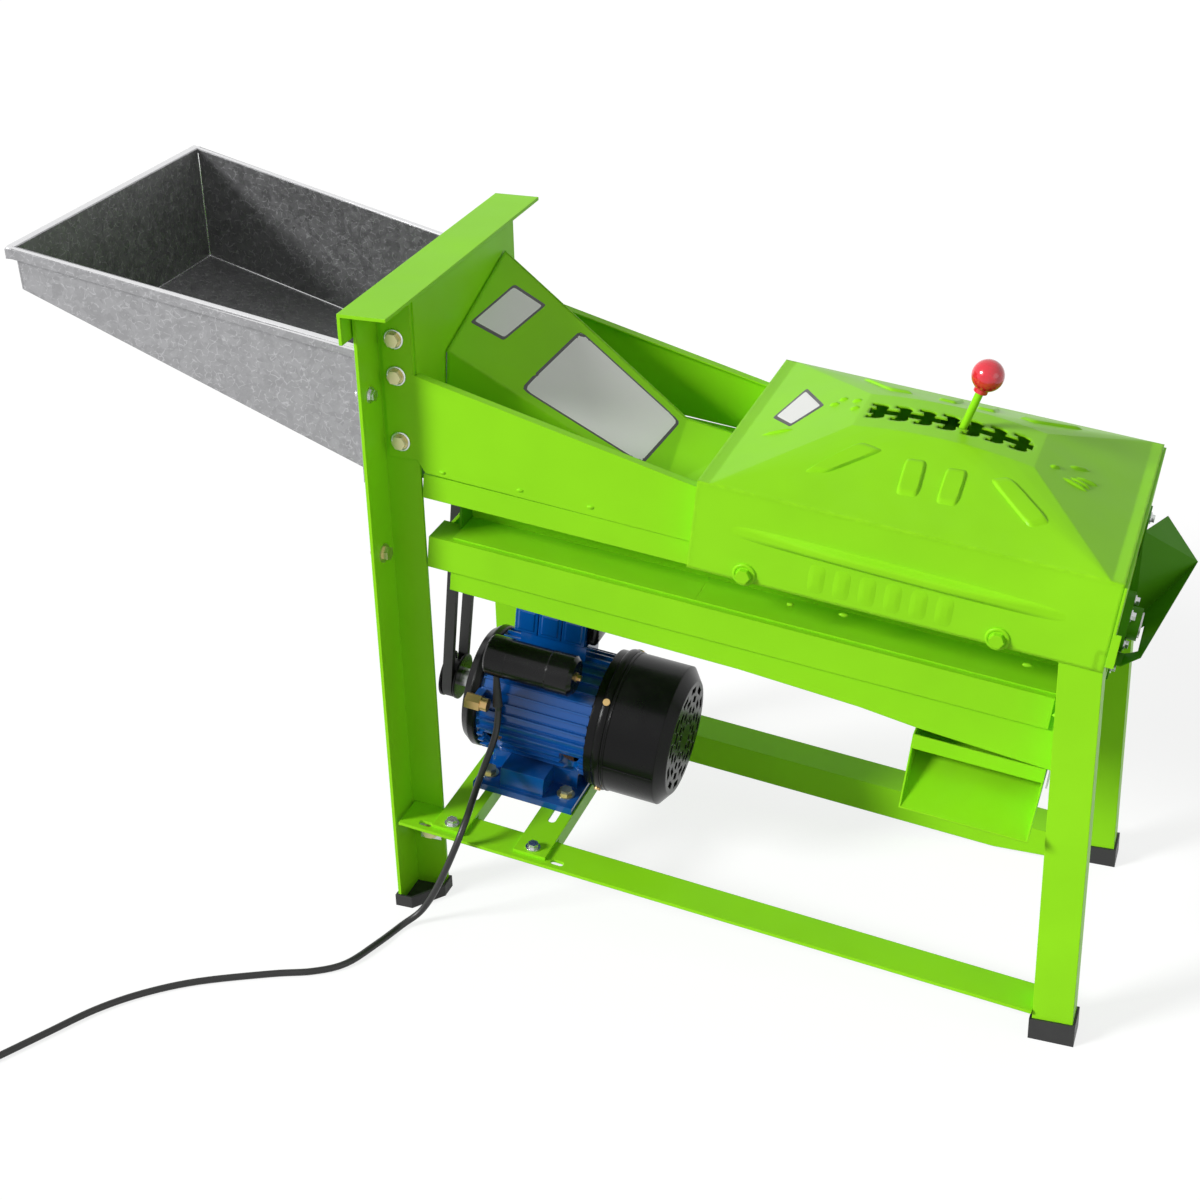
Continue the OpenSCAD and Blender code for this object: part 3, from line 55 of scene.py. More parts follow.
# The cord's route over the machine and the floor, in the stand's frame, in mm
CORD_EXIT = (93, 70, 243)
CORD_LEVEL = 4.3
CORD_ROUTE = [
    (93, 70, 233), (92, 58, 204), (89, 12, 170), (93, -56, 139), (68, -72, 71), (42, -76, 22),
    (20, -94, CORD_LEVEL), (6, -138, CORD_LEVEL), (-13, -184, CORD_LEVEL), (-44, -210, CORD_LEVEL),
    (-91, -231, CORD_LEVEL), (-168, -272, CORD_LEVEL), (-219, -312, CORD_LEVEL), (-257, -356, CORD_LEVEL),
    (-288, -409, CORD_LEVEL), (-312, -451, CORD_LEVEL), (-339, -497.5, CORD_LEVEL),
]
COIL_START = (-367, -546)
COIL_HEADING = math.radians(240)
COIL_RADIUS = 55.0
COIL_STEP = 9.3
COIL_RISE = 9.5
COIL_TURNS = 3 + 5 / 12
COIL_TAIL = 30.0

# A point in the middle of the hopper, in the stand's frame in mm, which tells its inside from its outside, so
# that shade can be painted on the inside
HOPPER_MIDDLE = (-240, 151, 760)


def on_stand(x, y, z):
    """A point given in the stand's frame in mm, as a place in the part in metres."""
    return (Vector((x, y, z)) - STAND_ORIGIN) * MM


def on_body(x, y, z):
    """A point given in the sloping body's frame in mm, as a place in the part in metres."""
    turned = Matrix.Rotation(BODY_SLOPE, 3, "Y") @ Vector((x, y, z))
    return (turned + Vector((0, 0, BODY_HEIGHT)) - STAND_ORIGIN) * MM


# Shared steps of modelling

def deselect():
    if bpy.context.object and bpy.context.object.mode != "OBJECT":
        bpy.ops.object.mode_set(mode="OBJECT")
    bpy.ops.object.select_all(action="DESELECT")


def take(piece):
    deselect()
    piece.select_set(True)
    bpy.context.view_layer.objects.active = piece


def apply_modifier(piece, kind, **settings):
    take(piece)
    made = piece.modifiers.new(kind.lower(), kind)
    for name, value in settings.items():
        setattr(made, name, value)
    bpy.ops.object.modifier_apply(modifier=made.name)


def settle(piece, name, material):
    """Gives a finished piece its name and finish, with its place in its mesh; it rides on the frame."""
    take(piece)
    bpy.ops.object.transform_apply(location=True, rotation=True, scale=True)
    piece.name = name
    piece.data.materials.clear()
    piece.data.materials.append(bpy.data.materials[material])
    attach(piece, "frame")
    return piece


def join(pieces):
    deselect()
    for piece in pieces:
        piece.select_set(True)
    bpy.context.view_layer.objects.active = pieces[0]
    bpy.ops.object.join()
    return bpy.context.object


def rod(points, radius, widths=None):
    """A round rod along a line of points in metres, as a closed mesh."""
    deselect()
    line = bpy.data.curves.new("rod", "CURVE")
    line.dimensions = "3D"
    line.bevel_depth = radius
    line.bevel_resolution = 5
    line.use_fill_caps = True
    spline = line.splines.new("POLY")
    spline.points.add(len(points) - 1)
    for i, point in enumerate(points):
        spline.points[i].co = (*point, 1)
        spline.points[i].radius = widths[i] if widths else 1.0
    piece = bpy.data.objects.new("rod", line)
    bpy.context.scene.collection.objects.link(piece)
    take(piece)
    bpy.ops.object.convert(target="MESH")
    piece = bpy.context.object
    bpy.ops.object.mode_set(mode="EDIT")
    bpy.ops.mesh.select_all(action="SELECT")
    bpy.ops.mesh.remove_doubles(threshold=1e-6)
    bpy.ops.mesh.normals_make_consistent(inside=False)
    bpy.ops.object.mode_set(mode="OBJECT")
    bpy.ops.object.shade_smooth()
    return piece


# Node helpers

def put(tree, kind, sockets=None, **settings):
    """Adds a shader node, sets it up, and links or sets its sockets."""
    made = tree.nodes.new(kind)
    for name, value in settings.items():
        setattr(made, name, value)
    for name, value in (sockets or {}).items():
        if isinstance(value, bpy.types.NodeSocket):
            tree.links.new(value, made.inputs[name])
        else:
            made.inputs[name].default_value = value
    return made


def maths(tree, operation, a, b=0.0):
    return put(tree, "ShaderNodeMath", {0: a, 1: b}, operation=operation).outputs[0]


def spread(tree, value, low, high, to_low=0.0, to_high=1.0):
    sockets = {"Value": value, "From Min": low, "From Max": high, "To Min": to_low, "To Max": to_high}
    return put(tree, "ShaderNodeMapRange", sockets).outputs[0]


def mix_colour(tree, factor, a, b):
    return put(tree, "ShaderNodeMix", {0: factor, 6: a, 7: b}, data_type="RGBA").outputs[2]


def noise(tree, place, scale, detail=3.0, roughness=0.5):
    sockets = {"Vector": place, "Scale": scale, "Detail": detail, "Roughness": roughness}
    return put(tree, "ShaderNodeTexNoise", sockets).outputs["Fac"]


def new_group(name, inputs, outputs):
    tree = bpy.data.node_groups.new(name, "ShaderNodeTree")
    for label, value in inputs:
        tree.interface.new_socket(label, in_out="INPUT", socket_type="NodeSocketFloat").default_value = value
    for label, kind in outputs:
        tree.interface.new_socket(label, in_out="OUTPUT", socket_type=kind)
    return tree, tree.nodes.new("NodeGroupInput").outputs, tree.nodes.new("NodeGroupOutput").inputs


def build_edges_group():
    """Rounded normals at sharp edges, and a broken mask along them."""
    tree, given, result = new_group(
        "Sheller edges", [("Radius", 0.001), ("Breakup", 60.0)],
        [("Mask", "NodeSocketFloat"), ("Normal", "NodeSocketVector")])
    place = put(tree, "ShaderNodeTexCoord").outputs["Object"]
    rounded = put(tree, "ShaderNodeBevel", {"Radius": given["Radius"]}, samples=4).outputs[0]
    flat = put(tree, "ShaderNodeNewGeometry").outputs["Normal"]
    turn = put(tree, "ShaderNodeVectorMath", {0: rounded, 1: flat}, operation="DOT_PRODUCT").outputs["Value"]
    edge = spread(tree, turn, 0.99, 0.8)
    patchy = spread(tree, noise(tree, place, given["Breakup"]), 0.45, 0.62)
    tree.links.new(maths(tree, "MULTIPLY", edge, patchy), result["Mask"])
    tree.links.new(rounded, result["Normal"])


def build_film_group():
    """Slow drift of tone, hand-sized dents of the sheet, and the fine peel of a sprayed coat."""
    tree, given, result = new_group(
        "Sheller film", [("Drift", 3.0), ("Dents", 14.0), ("Peel", 520.0)],
        [("Tone", "NodeSocketFloat"), ("Dents", "NodeSocketFloat"), ("Peel", "NodeSocketFloat")])
    place = put(tree, "ShaderNodeTexCoord").outputs["Object"]
    tree.links.new(noise(tree, place, given["Drift"], 4.0, 0.6), result["Tone"])
    tree.links.new(noise(tree, place, given["Dents"], 1.0, 0.3), result["Dents"])
    tree.links.new(noise(tree, place, given["Peel"], 2.0, 0.5), result["Peel"])


def build_dust_group():
    """Dust that lies on faces that look up, in patches."""
    tree, given, result = new_group(
        "Sheller dust", [("Scale", 18.0), ("Amount", 0.4)], [("Mask", "NodeSocketFloat")])
    place = put(tree, "ShaderNodeTexCoord").outputs["Object"]
    facing = put(tree, "ShaderNodeNewGeometry").outputs["Normal"]
    up = put(tree, "ShaderNodeSeparateXYZ", {0: facing}).outputs["Z"]
    faces = spread(tree, up, 0.3, 0.95)
    patches = spread(tree, noise(tree, place, given["Scale"], 6.0, 0.65), 0.42, 0.75)
    settled = maths(tree, "MULTIPLY", faces, patches)
    tree.links.new(maths(tree, "MULTIPLY", settled, given["Amount"]), result["Mask"])


def build_spangle_group():
    """Crystals of hot-dipped zinc, each with its own tone and gloss, and short strokes between them."""
    tree, given, result = new_group(
        "Sheller spangle", [("Scale", 130.0), ("Stroke scale", 115.0)],
        [("Tone", "NodeSocketFloat"), ("Gloss", "NodeSocketFloat"), ("Strokes", "NodeSocketFloat")])
    place = put(tree, "ShaderNodeTexCoord").outputs["Object"]
    drift = put(tree, "ShaderNodeTexNoise", {"Vector": place, "Scale": 60.0, "Detail": 2.0}).outputs["Color"]
    reach = (0.014, 0.014, 0.014)
    push = put(tree, "ShaderNodeVectorMath", {0: drift, 1: reach}, operation="MULTIPLY").outputs[0]
    bent = put(tree, "ShaderNodeVectorMath", {0: place, 1: push}, operation="ADD").outputs[0]
    cells = put(tree, "ShaderNodeTexVoronoi", {"Vector": bent, "Scale": given["Scale"]}).outputs["Color"]
    parts = put(tree, "ShaderNodeSeparateColor", {0: cells}).outputs
    feather = noise(tree, bent, 420.0, 3.0, 0.7)
    seams = put(tree, "ShaderNodeTexVoronoi", {"Vector": bent, "Scale": given["Stroke scale"]},
                feature="DISTANCE_TO_EDGE").outputs["Distance"]
    broken = spread(tree, noise(tree, place, 170.0, 2.0, 0.5), 0.47, 0.55)
    strokes = maths(tree, "MULTIPLY", spread(tree, seams, 0.055, 0.02), broken)
    tone = maths(tree, "MULTIPLY", maths(tree, "ADD", parts[0], feather), 0.5)
    tree.links.new(tone, result["Tone"])
    tree.links.new(parts[1], result["Gloss"])
    tree.links.new(strokes, result["Strokes"])


def build_grain_group():
    """The fine grain of a cast or moulded skin, and marks left by handling."""
    tree, given, result = new_group(
        "Sheller grain", [("Grain", 700.0), ("Marks", 35.0)],
        [("Grain", "NodeSocketFloat"), ("Marks", "NodeSocketFloat")])
    place = put(tree, "ShaderNodeTexCoord").outputs["Object"]
    tree.links.new(noise(tree, place, given["Grain"], 3.0, 0.6), result["Grain"])
    drawn = put(tree, "ShaderNodeMapping", {0: place, "Scale": (1.0, 6.0, 2.0)}).outputs[0]
    tree.links.new(spread(tree, noise(tree, drawn, given["Marks"], 8.0, 0.7), 0.5, 0.8), result["Marks"])


def use_group(tree, name, **values):
    made = put(tree, "ShaderNodeGroup", node_tree=bpy.data.node_groups[name])
    for label, value in values.items():
        made.inputs[label].default_value = value
    return made.outputs


def new_finish(name):
    made = bpy.data.materials.new(name)
    made.use_nodes = True
    tree = made.node_tree
    tree.nodes.clear()
    shader = put(tree, "ShaderNodeBsdfPrincipled")
    put(tree, "ShaderNodeOutputMaterial", {"Surface": shader.outputs[0]})
    return made, tree, shader


def tinted(colour, factor):
    return (*(min(1.0, c * factor) for c in colour[:3]), 1.0)


def painted(name, colour, gloss, coat, shine=0.3, wear=0.25, dust=0.25, dents=0.0015, peel=0.00012,
            radius=0.0012):
    """A sprayed coat over sheet or casting: drift of tone, worn edges, dust, dents and peel."""
    made, tree, shader = new_finish(name)
    film = use_group(tree, "Sheller film")
    edges = use_group(tree, "Sheller edges", Radius=radius)
    dusty = use_group(tree, "Sheller dust", Amount=dust)
    body = mix_colour(tree, spread(tree, film["Tone"], 0.3, 0.7), tinted(colour, 0.92), tinted(colour, 1.06))
    worn = mix_colour(tree, maths(tree, "MULTIPLY", edges["Mask"], wear), body, tinted(colour, 1.5))
    top = mix_colour(tree, maths(tree, "MULTIPLY", dusty["Mask"], 0.2), worn, (0.62, 0.62, 0.55, 1))
    rough = maths(tree, "ADD", spread(tree, film["Tone"], 0.3, 0.7, gloss - 0.05, gloss + 0.06),
                  maths(tree, "MULTIPLY", dusty["Mask"], 0.35))
    dented = put(tree, "ShaderNodeBump", {"Strength": 1.0, "Distance": dents, "Height": film["Dents"],
                                          "Normal": edges["Normal"]}).outputs[0]
    skin = put(tree, "ShaderNodeBump", {"Strength": 0.6, "Distance": peel, "Height": film["Peel"],
                                        "Normal": dented}).outputs[0]
    tree.links.new(top, shader.inputs["Base Color"])
    tree.links.new(rough, shader.inputs["Roughness"])
    tree.links.new(skin, shader.inputs["Normal"])
    shader.inputs["Specular IOR Level"].default_value = shine
    shader.inputs["Coat Weight"].default_value = coat
    shader.inputs["Coat Roughness"].default_value = 0.12
    return made


def bare_metal(name, colour, gloss, grain=600.0, marks=0.15, radius=0.0006, metallic=1.0):
    """Plated or turned metal with fine grain and handling marks."""
    made, tree, shader = new_finish(name)
    skin = use_group(tree, "Sheller grain", Grain=grain)
    edges = use_group(tree, "Sheller edges", Radius=radius)
    marked = maths(tree, "MULTIPLY", skin["Marks"], marks * 2)
    body = mix_colour(tree, marked, tinted(colour, 1.0), tinted(colour, 0.6))
    worn = mix_colour(tree, maths(tree, "MULTIPLY", edges["Mask"], 0.4), body, tinted(colour, 1.3))
    rough = maths(tree, "ADD", spread(tree, skin["Grain"], 0.3, 0.7, gloss - 0.05, gloss + 0.08),
                  maths(tree, "MULTIPLY", skin["Marks"], marks))
    bump = put(tree, "ShaderNodeBump", {"Strength": 0.4, "Distance": 0.00008, "Height": skin["Grain"],
                                        "Normal": edges["Normal"]}).outputs[0]
    tree.links.new(worn, shader.inputs["Base Color"])
    tree.links.new(rough, shader.inputs["Roughness"])
    tree.links.new(bump, shader.inputs["Normal"])
    shader.inputs["Metallic"].default_value = metallic
    return made


def moulded(name, colour, gloss, coat=0.0, grain=700.0, depth=0.0001, dust=0.3, radius=0.0009, marks=1.0,
            shine=0.5):
    """Moulded plastic or rubber: fine grain, a little dust, scuffed edges."""
    made, tree, shader = new_finish(name)
    skin = use_group(tree, "Sheller grain", Grain=grain)
    edges = use_group(tree, "Sheller edges", Radius=radius)
    dusty = use_group(tree, "Sheller dust", Amount=dust)
    marked = maths(tree, "MULTIPLY", skin["Marks"], marks)
    body = mix_colour(tree, marked, tinted(colour, 1.0), tinted(colour, 1.5))
    worn = mix_colour(tree, maths(tree, "MULTIPLY", edges["Mask"], 0.3), body, tinted(colour, 3.0))
    top = mix_colour(tree, maths(tree, "MULTIPLY", dusty["Mask"], 0.25), worn, (0.3, 0.29, 0.26, 1))
    rough = maths(tree, "ADD", spread(tree, skin["Grain"], 0.3, 0.7, gloss - 0.04, gloss + 0.08),
                  maths(tree, "MULTIPLY", skin["Marks"], 0.12))
    bump = put(tree, "ShaderNodeBump", {"Strength": 0.5, "Distance": depth, "Height": skin["Grain"],
                                        "Normal": edges["Normal"]}).outputs[0]
    tree.links.new(top, shader.inputs["Base Color"])
    tree.links.new(rough, shader.inputs["Roughness"])
    tree.links.new(bump, shader.inputs["Normal"])
    shader.inputs["Specular IOR Level"].default_value = shine
    shader.inputs["Coat Weight"].default_value = coat
    shader.inputs["Coat Roughness"].default_value = 0.1
    return made


def galvanised(name, colour, gloss):
    """Hot-dipped sheet: crystals of zinc, short bright strokes, and an inside darkened with painted shade."""
    made, tree, shader = new_finish(name)
    crystal = use_group(tree, "Sheller spangle")
    edges = use_group(tree, "Sheller edges", Radius=0.001)
    film = use_group(tree, "Sheller film", Dents=9.0)
    skin = use_group(tree, "Sheller grain", Marks=60.0)
    place = put(tree, "ShaderNodeTexCoord").outputs["Object"]
    facing = put(tree, "ShaderNodeNewGeometry").outputs["Normal"]
    middle = tuple(on_stand(*HOPPER_MIDDLE))
    inward = put(tree, "ShaderNodeVectorMath", {0: middle, 1: place}, operation="SUBTRACT")
    turned_in = put(tree, "ShaderNodeVectorMath", {0: inward.outputs[0], 1: facing}, operation="DOT_PRODUCT")
    inside = spread(tree, turned_in.outputs["Value"], 0.0, 0.02)
    body = mix_colour(tree, crystal["Tone"], tinted(colour, 0.78), tinted(colour, 1.12))
    scratched = mix_colour(tree, maths(tree, "MULTIPLY", crystal["Strokes"], 0.5), body, tinted(colour, 1.7))
    scuffed = mix_colour(tree, maths(tree, "MULTIPLY", skin["Marks"], 0.4), scratched, tinted(colour, 1.35))
    # Painted shade: the colour of the hopper's inside is mixed halfway to black
    inside_painted_shade = mix_colour(tree, maths(tree, "MULTIPLY", inside, 0.5), scuffed, (0.0, 0.0, 0.0, 1))
    bright = maths(tree, "MULTIPLY", maths(tree, "MULTIPLY", inside, crystal["Strokes"]), 0.45)
    marked = mix_colour(tree, bright, inside_painted_shade, tinted(colour, 1.1))
    worn = mix_colour(tree, edges["Mask"], marked, tinted(colour, 1.4))
    rough = maths(tree, "ADD", spread(tree, crystal["Gloss"], 0.0, 1.0, gloss - 0.08, gloss + 0.1),
                  maths(tree, "MULTIPLY", skin["Marks"], 0.15))
    waved = put(tree, "ShaderNodeBump", {"Strength": 1.0, "Distance": 0.002, "Height": film["Dents"],
                                         "Normal": edges["Normal"]}).outputs[0]
    bump = put(tree, "ShaderNodeBump", {"Strength": 0.35, "Distance": 0.0002, "Height": crystal["Strokes"],
                                        "Normal": waved}).outputs[0]
    tree.links.new(worn, shader.inputs["Base Color"])
    tree.links.new(rough, shader.inputs["Roughness"])
    tree.links.new(bump, shader.inputs["Normal"])
    shader.inputs["Metallic"].default_value = 0.7
    return made


def colour_property(name, description, value):
    return bpy.props.FloatVectorProperty(
        name=name, description=description, default=value, min=0.0, max=1.0, size=3, subtype="COLOR")


class ShellerColours(bpy.types.PropertyGroup):
    """Colours of the sheller's finishes."""

    green: colour_property("Powder coat", "Bright green coat of the stand and covers", (0.29, 0.75, 0.012))
    # A darker copy of the green coat: painted shade for the chute, the bearings and the inner plates
    dark_green: colour_property("Inner coat", "Green coat of the chute and inner plates", (0.08, 0.32, 0.005))
    blue: colour_property("Motor enamel", "Enamel of the motor's frame and terminal box", (0.001, 0.08, 0.33))
    zinc: colour_property("Galvanised sheet", "Zinc of the feed hopper", (0.37, 0.37, 0.38))
    knob: colour_property("Knob", "Red plastic of the lever's ball", (0.7, 0.01, 0.03))
    label: colour_property("Label face", "Bare face of the stuck-on labels", (0.82, 0.83, 0.8))


class ShellerSizes(bpy.types.PropertyGroup):
    """Sizes of the added detail."""

    cord_diameter: bpy.props.FloatProperty(
        name="Cord diameter", description="Outer diameter of the mains cord", default=8.5 * MM,
        min=0.005, max=0.014, unit="LENGTH")
    emboss: bpy.props.FloatProperty(
        name="Pressing height", description="How far the pressed pads stand out", default=2.8 * MM,
        min=0.0005, max=0.004, unit="LENGTH")
    bead: bpy.props.FloatProperty(
        name="Weld bead", description="Radius of the weld tacks", default=2.6 * MM,
        min=0.001, max=0.006, unit="LENGTH")


class ShellerStage(bpy.types.PropertyGroup):
    """Light and floor."""

    daylight: bpy.props.FloatProperty(
        name="Surround", description="Strength of the even light from all round", default=0.3, min=0.0,
        max=2.0)
    key: bpy.props.FloatProperty(
        name="Key lamp", description="Strength of the soft lamp above the front left", default=3.3, min=0.0,
        max=10.0)
    floor: colour_property("Floor", "Colour of the floor", (0.86, 0.86, 0.86))


class SHELLER_OT_camera(bpy.types.Operator):
    """Sets up the camera at the picture's viewing angle"""

    bl_idname = "sheller.camera"
    bl_label = "Camera"

    def execute(self, context):
        spot = Vector((0.733463, -2.0520, 1.5630))
        yaw = -0.356
        pitch = 0.499
        roll = 0.021
        ahead = Vector((math.sin(yaw) * math.cos(pitch), math.cos(yaw) * math.cos(pitch), -math.sin(pitch)))
        level = Vector((math.cos(yaw), -math.sin(yaw), 0.0))
        down = ahead.cross(level)
        right = math.cos(roll) * level + math.sin(roll) * down
        below = -math.sin(roll) * level + math.cos(roll) * down
        data = bpy.data.cameras.new("Camera")
        data.lens = 60.63
        data.sensor_width = 36.0
        data.clip_end = 200.0
        camera = bpy.data.objects.new("Camera", data)
        turned = Matrix((right, -below, -ahead)).transposed().to_4x4()
        camera.matrix_world = Matrix.Translation(spot) @ turned
        context.scene.collection.objects.link(camera)
        context.scene.camera = camera
        return {"FINISHED"}


def cord_line():
    """Points of the cord from its exit to the plug, in mm in the stand's frame."""
    heading = Vector((math.cos(COIL_HEADING), math.sin(COIL_HEADING), 0.0))
    lead = 8.5
    end = Vector((*COIL_START, CORD_LEVEL)) - lead * heading
    start = Vector(CORD_EXIT)
    before = start + Vector((0, 0, 20))
    after = end + 30 * heading
    knots = [before, start, *map(Vector, CORD_ROUTE), end, after]
    steps = 6
    line = []
    for p0, p1, p2, p3 in zip(knots, knots[1:], knots[2:], knots[3:]):
        for k in range(steps):
            t = k / steps
            line.append(0.5 * (2 * p1 + (p2 - p0) * t + (2 * p0 - 5 * p1 + 4 * p2 - p3) * t ** 2
                               + (3 * p1 - p0 - 3 * p2 + p3) * t ** 3))
    line.append(end)
    middle = Vector((COIL_START[0] + COIL_RADIUS * math.cos(math.radians(150)),
                     COIL_START[1] + COIL_RADIUS * math.sin(math.radians(150)), 0.0))
    rings = 150
    half = COIL_TURNS / 2
    for i in range(rings + 1):
        turn = i * COIL_TURNS / rings
        radius = COIL_RADIUS - COIL_STEP * (half - abs(turn - half))
        angle = math.radians(-30 - 360 * turn)
        rise = min(1.0, max(0.0, (turn - half + 0.25) / 0.5))
        rise = rise * rise * (3 - 2 * rise)
        line.append(middle + Vector((radius * math.cos(angle), radius * math.sin(angle),
                                     CORD_LEVEL + COIL_RISE * rise)))
    plug = Vector((middle.x - COIL_RADIUS, middle.y + COIL_TAIL, CORD_LEVEL + COIL_RISE))
    return line + [plug + Vector((0, 9 - COIL_TAIL, 0)), plug]


class SHELLER_OT_cord(bpy.types.Operator):
    """Lays the mains cord from the motor over the floor to its plug"""

    bl_idname = "sheller.cord"
    bl_label = "Mains cord"

    def execute(self, context):
        deselect()
        width = context.scene.sheller_sizes.cord_diameter
        data = bpy.data.curves.new("mains_cord", "CURVE")
        data.dimensions = "3D"
        data.bevel_depth = width / 2
        data.bevel_resolution = 5
        data.use_fill_caps = True
        points = [on_stand(*p) for p in cord_line()]
        spline = data.splines.new("POLY")
        spline.points.add(len(points) - 1)
        for i, point in enumerate(points):
            spline.points[i].co = (*point, 1)
        spline.use_smooth = True
        piece = bpy.data.objects.new("mains_cord", data)
        context.scene.collection.objects.link(piece)
        data.materials.append(bpy.data.materials["cord_rubber"])
        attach(piece, "frame")
        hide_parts("cord", "cord_coil")
        return {"FINISHED"}


class SHELLER_OT_stage(bpy.types.Operator):
    """Lays the pale floor and sets the soft studio light"""

    bl_idname = "sheller.stage"
    bl_label = "Stage"

    def execute(self, context):
        deselect()
        stage = context.scene.sheller_stage
        bpy.ops.mesh.primitive_plane_add(size=60.0)
        floor = context.object
        floor.name = "studio_floor"
        made, tree, shader = new_finish("studio_floor")
        shader.inputs["Roughness"].default_value = 0.7
        path = put(tree, "ShaderNodeLightPath").outputs
        # The floor throws this share of its white back onto the object, and shows the camera a white glow
        returned = 0.4
        glow_strength = 1.15
        glow_share = 0.7
        thrown = mix_colour(tree, path["Is Diffuse Ray"], (*stage.floor, 1.0), tinted(stage.floor, returned))
        tree.links.new(thrown, shader.inputs["Base Color"])
        seen = maths(tree, "MAXIMUM", path["Is Camera Ray"],
                     maths(tree, "MAXIMUM", path["Is Glossy Ray"], path["Is Transmission Ray"]))
        pale = (1, 1, 1, 1)
        glow = put(tree, "ShaderNodeEmission", {"Color": pale, "Strength": glow_strength}).outputs[0]
        share = maths(tree, "MULTIPLY", seen, glow_share)
        both = put(tree, "ShaderNodeMixShader", {0: share, 1: shader.outputs[0], 2: glow})
        tree.links.new(both.outputs[0], tree.nodes["Material Output"].inputs["Surface"])
        floor.data.materials.append(made)

        world = bpy.data.worlds.new("Studio")
        world.use_nodes = True
        context.scene.world = world
        tree = world.node_tree
        tree.nodes.clear()
        path = put(tree, "ShaderNodeLightPath").outputs
        seen = maths(tree, "MAXIMUM", path["Is Camera Ray"],
                     maths(tree, "MAXIMUM", path["Is Glossy Ray"], path["Is Transmission Ray"]))
        light = put(tree, "ShaderNodeBackground", {"Color": pale, "Strength": stage.daylight}).outputs[0]
        white = put(tree, "ShaderNodeBackground", {"Color": pale, "Strength": 1.0}).outputs[0]
        both = put(tree, "ShaderNodeMixShader", {0: seen, 1: light, 2: white}).outputs[0]
        put(tree, "ShaderNodeOutputWorld", {"Surface": both})

        for name, strength, spot, softness in (
            ("Key", stage.key, (-1.5, -1.3, 1.15), 14.0),
            ("Fill", stage.key * 0.1, (2.6, -1.2, 0.4), 40.0),
        ):
            data = bpy.data.lights.new(name, "SUN")
            data.energy = strength
            data.angle = math.radians(softness)
            lamp = bpy.data.objects.new(name, data)
            lamp.location = spot
            lamp.rotation_mode = "QUATERNION"
            lamp.rotation_quaternion = Vector(spot).to_track_quat("Z", "Y")
            context.scene.collection.objects.link(lamp)
        context.scene.view_settings.view_transform = "Standard"
        return {"FINISHED"}


class SHELLER_OT_finishes(bpy.types.Operator):
    """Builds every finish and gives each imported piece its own"""

    bl_idname = "sheller.finishes"
    bl_label = "Finishes"

    def execute(self, context):
        colours = context.scene.sheller_colours
        surface_groups = (build_edges_group, build_film_group, build_dust_group)
        metal_groups = (build_spangle_group, build_grain_group)
        for build in surface_groups + metal_groups:
            build()
        painted("green_coat", colours.green, 0.38, 0.02, shine=0.1, wear=0.5, dust=0.05)
        painted("folded_green_coat", colours.green, 0.36, 0.03, shine=0.12, wear=0.5, dust=0.05,
                radius=0.006)
        # The same green coat made darker, as painted shade
        painted("shade_green_coat", colours.dark_green, 0.42, 0.02, shine=0.1, dust=0.2)
        painted("motor_enamel", colours.blue, 0.2, 0.4, wear=0.15, dents=0.0003, peel=0.00015, radius=0.0016)
        painted("black_enamel", (0.003, 0.003, 0.0034), 0.28, 0.05, shine=0.14, wear=0.06, dust=0.05,
                dents=0.0004, peel=0.0002, radius=0.003)
        galvanised("zinc_sheet", colours.zinc, 0.46)
        bare_metal("bright_zinc", (0.66, 0.67, 0.68), 0.27)
        bare_metal("yellow_zinc", (0.4, 0.4, 0.2), 0.24)
        bare_metal("brass", (0.5, 0.3, 0.09), 0.24)
        # Zinc about twice as pale as the sheet: the hems and seams are real, and their paleness is a painted
        # highlight
        bare_metal("hem_highlight_zinc", (0.78, 0.78, 0.79), 0.24, grain=300.0, marks=0.05)
        bare_metal("turned_steel", (0.5, 0.5, 0.51), 0.3, grain=900.0)
        bare_metal("cast_iron", (0.025, 0.025, 0.027), 0.45, grain=420.0, metallic=0.4)
        bare_metal("copper_wire", (0.62, 0.27, 0.13), 0.3, grain=1200.0)
        moulded("gloss_plastic", (0.004, 0.004, 0.0044), 0.2, coat=0.1, depth=0.00004, dust=0.05,
                radius=0.002, shine=0.2)
        moulded("matt_plastic", (0.014, 0.014, 0.014), 0.42)
        moulded("rubber", (0.016, 0.016, 0.016), 0.6, depth=0.00015)
        moulded("cord_rubber", (0.012, 0.012, 0.012), 0.38, grain=900.0, depth=0.00006, dust=0.1)
        moulded("knob_plastic", colours.knob, 0.14, coat=0.6, depth=0.00002, dust=0.1)
        moulded("label_face", colours.label, 0.35, coat=0.3, depth=0.00002, dust=0.1, marks=0.06)
        moulded("label_line", (0.03, 0.03, 0.03), 0.4, coat=0.2, dust=0.1)
        # The dark green slot takes the darker green coat, which is painted shade
        worn_by_slot = {
            "green_paint": "green_coat", "dark_green_paint": "shade_green_coat", "galvanised": "zinc_sheet",
            "zinc": "bright_zinc", "yellow_zinc": "yellow_zinc", "brass": "brass",
            "blue_paint": "motor_enamel", "black_paint": "black_enamel",
            "black_plastic": "matt_plastic", "black_rubber": "rubber",
            "red_plastic": "knob_plastic", "steel": "turned_steel", "cast_iron": "cast_iron",
            "copper": "copper_wire",
        }
        # The chute and the bearings take the darker green coat, which is painted shade
        own = {
            "capacitor": "gloss_plastic", "plug": "cord_rubber", "top_cover": "folded_green_coat",
            "throat_hood": "folded_green_coat", "trough": "green_coat", "cob_chute": "shade_green_coat",
            "bearings": "shade_green_coat",
        }
        for name, piece in NODES.items():
            for i, held in enumerate(piece.data.materials):
                finish = own.get(name, worn_by_slot[held.name.split(".")[0]])
                piece.data.materials[i] = bpy.data.materials[finish]
        return {"FINISHED"}


def smoothstep(t):
    t = min(1.0, max(0.0, t))
    return t * t * (3 - 2 * t)


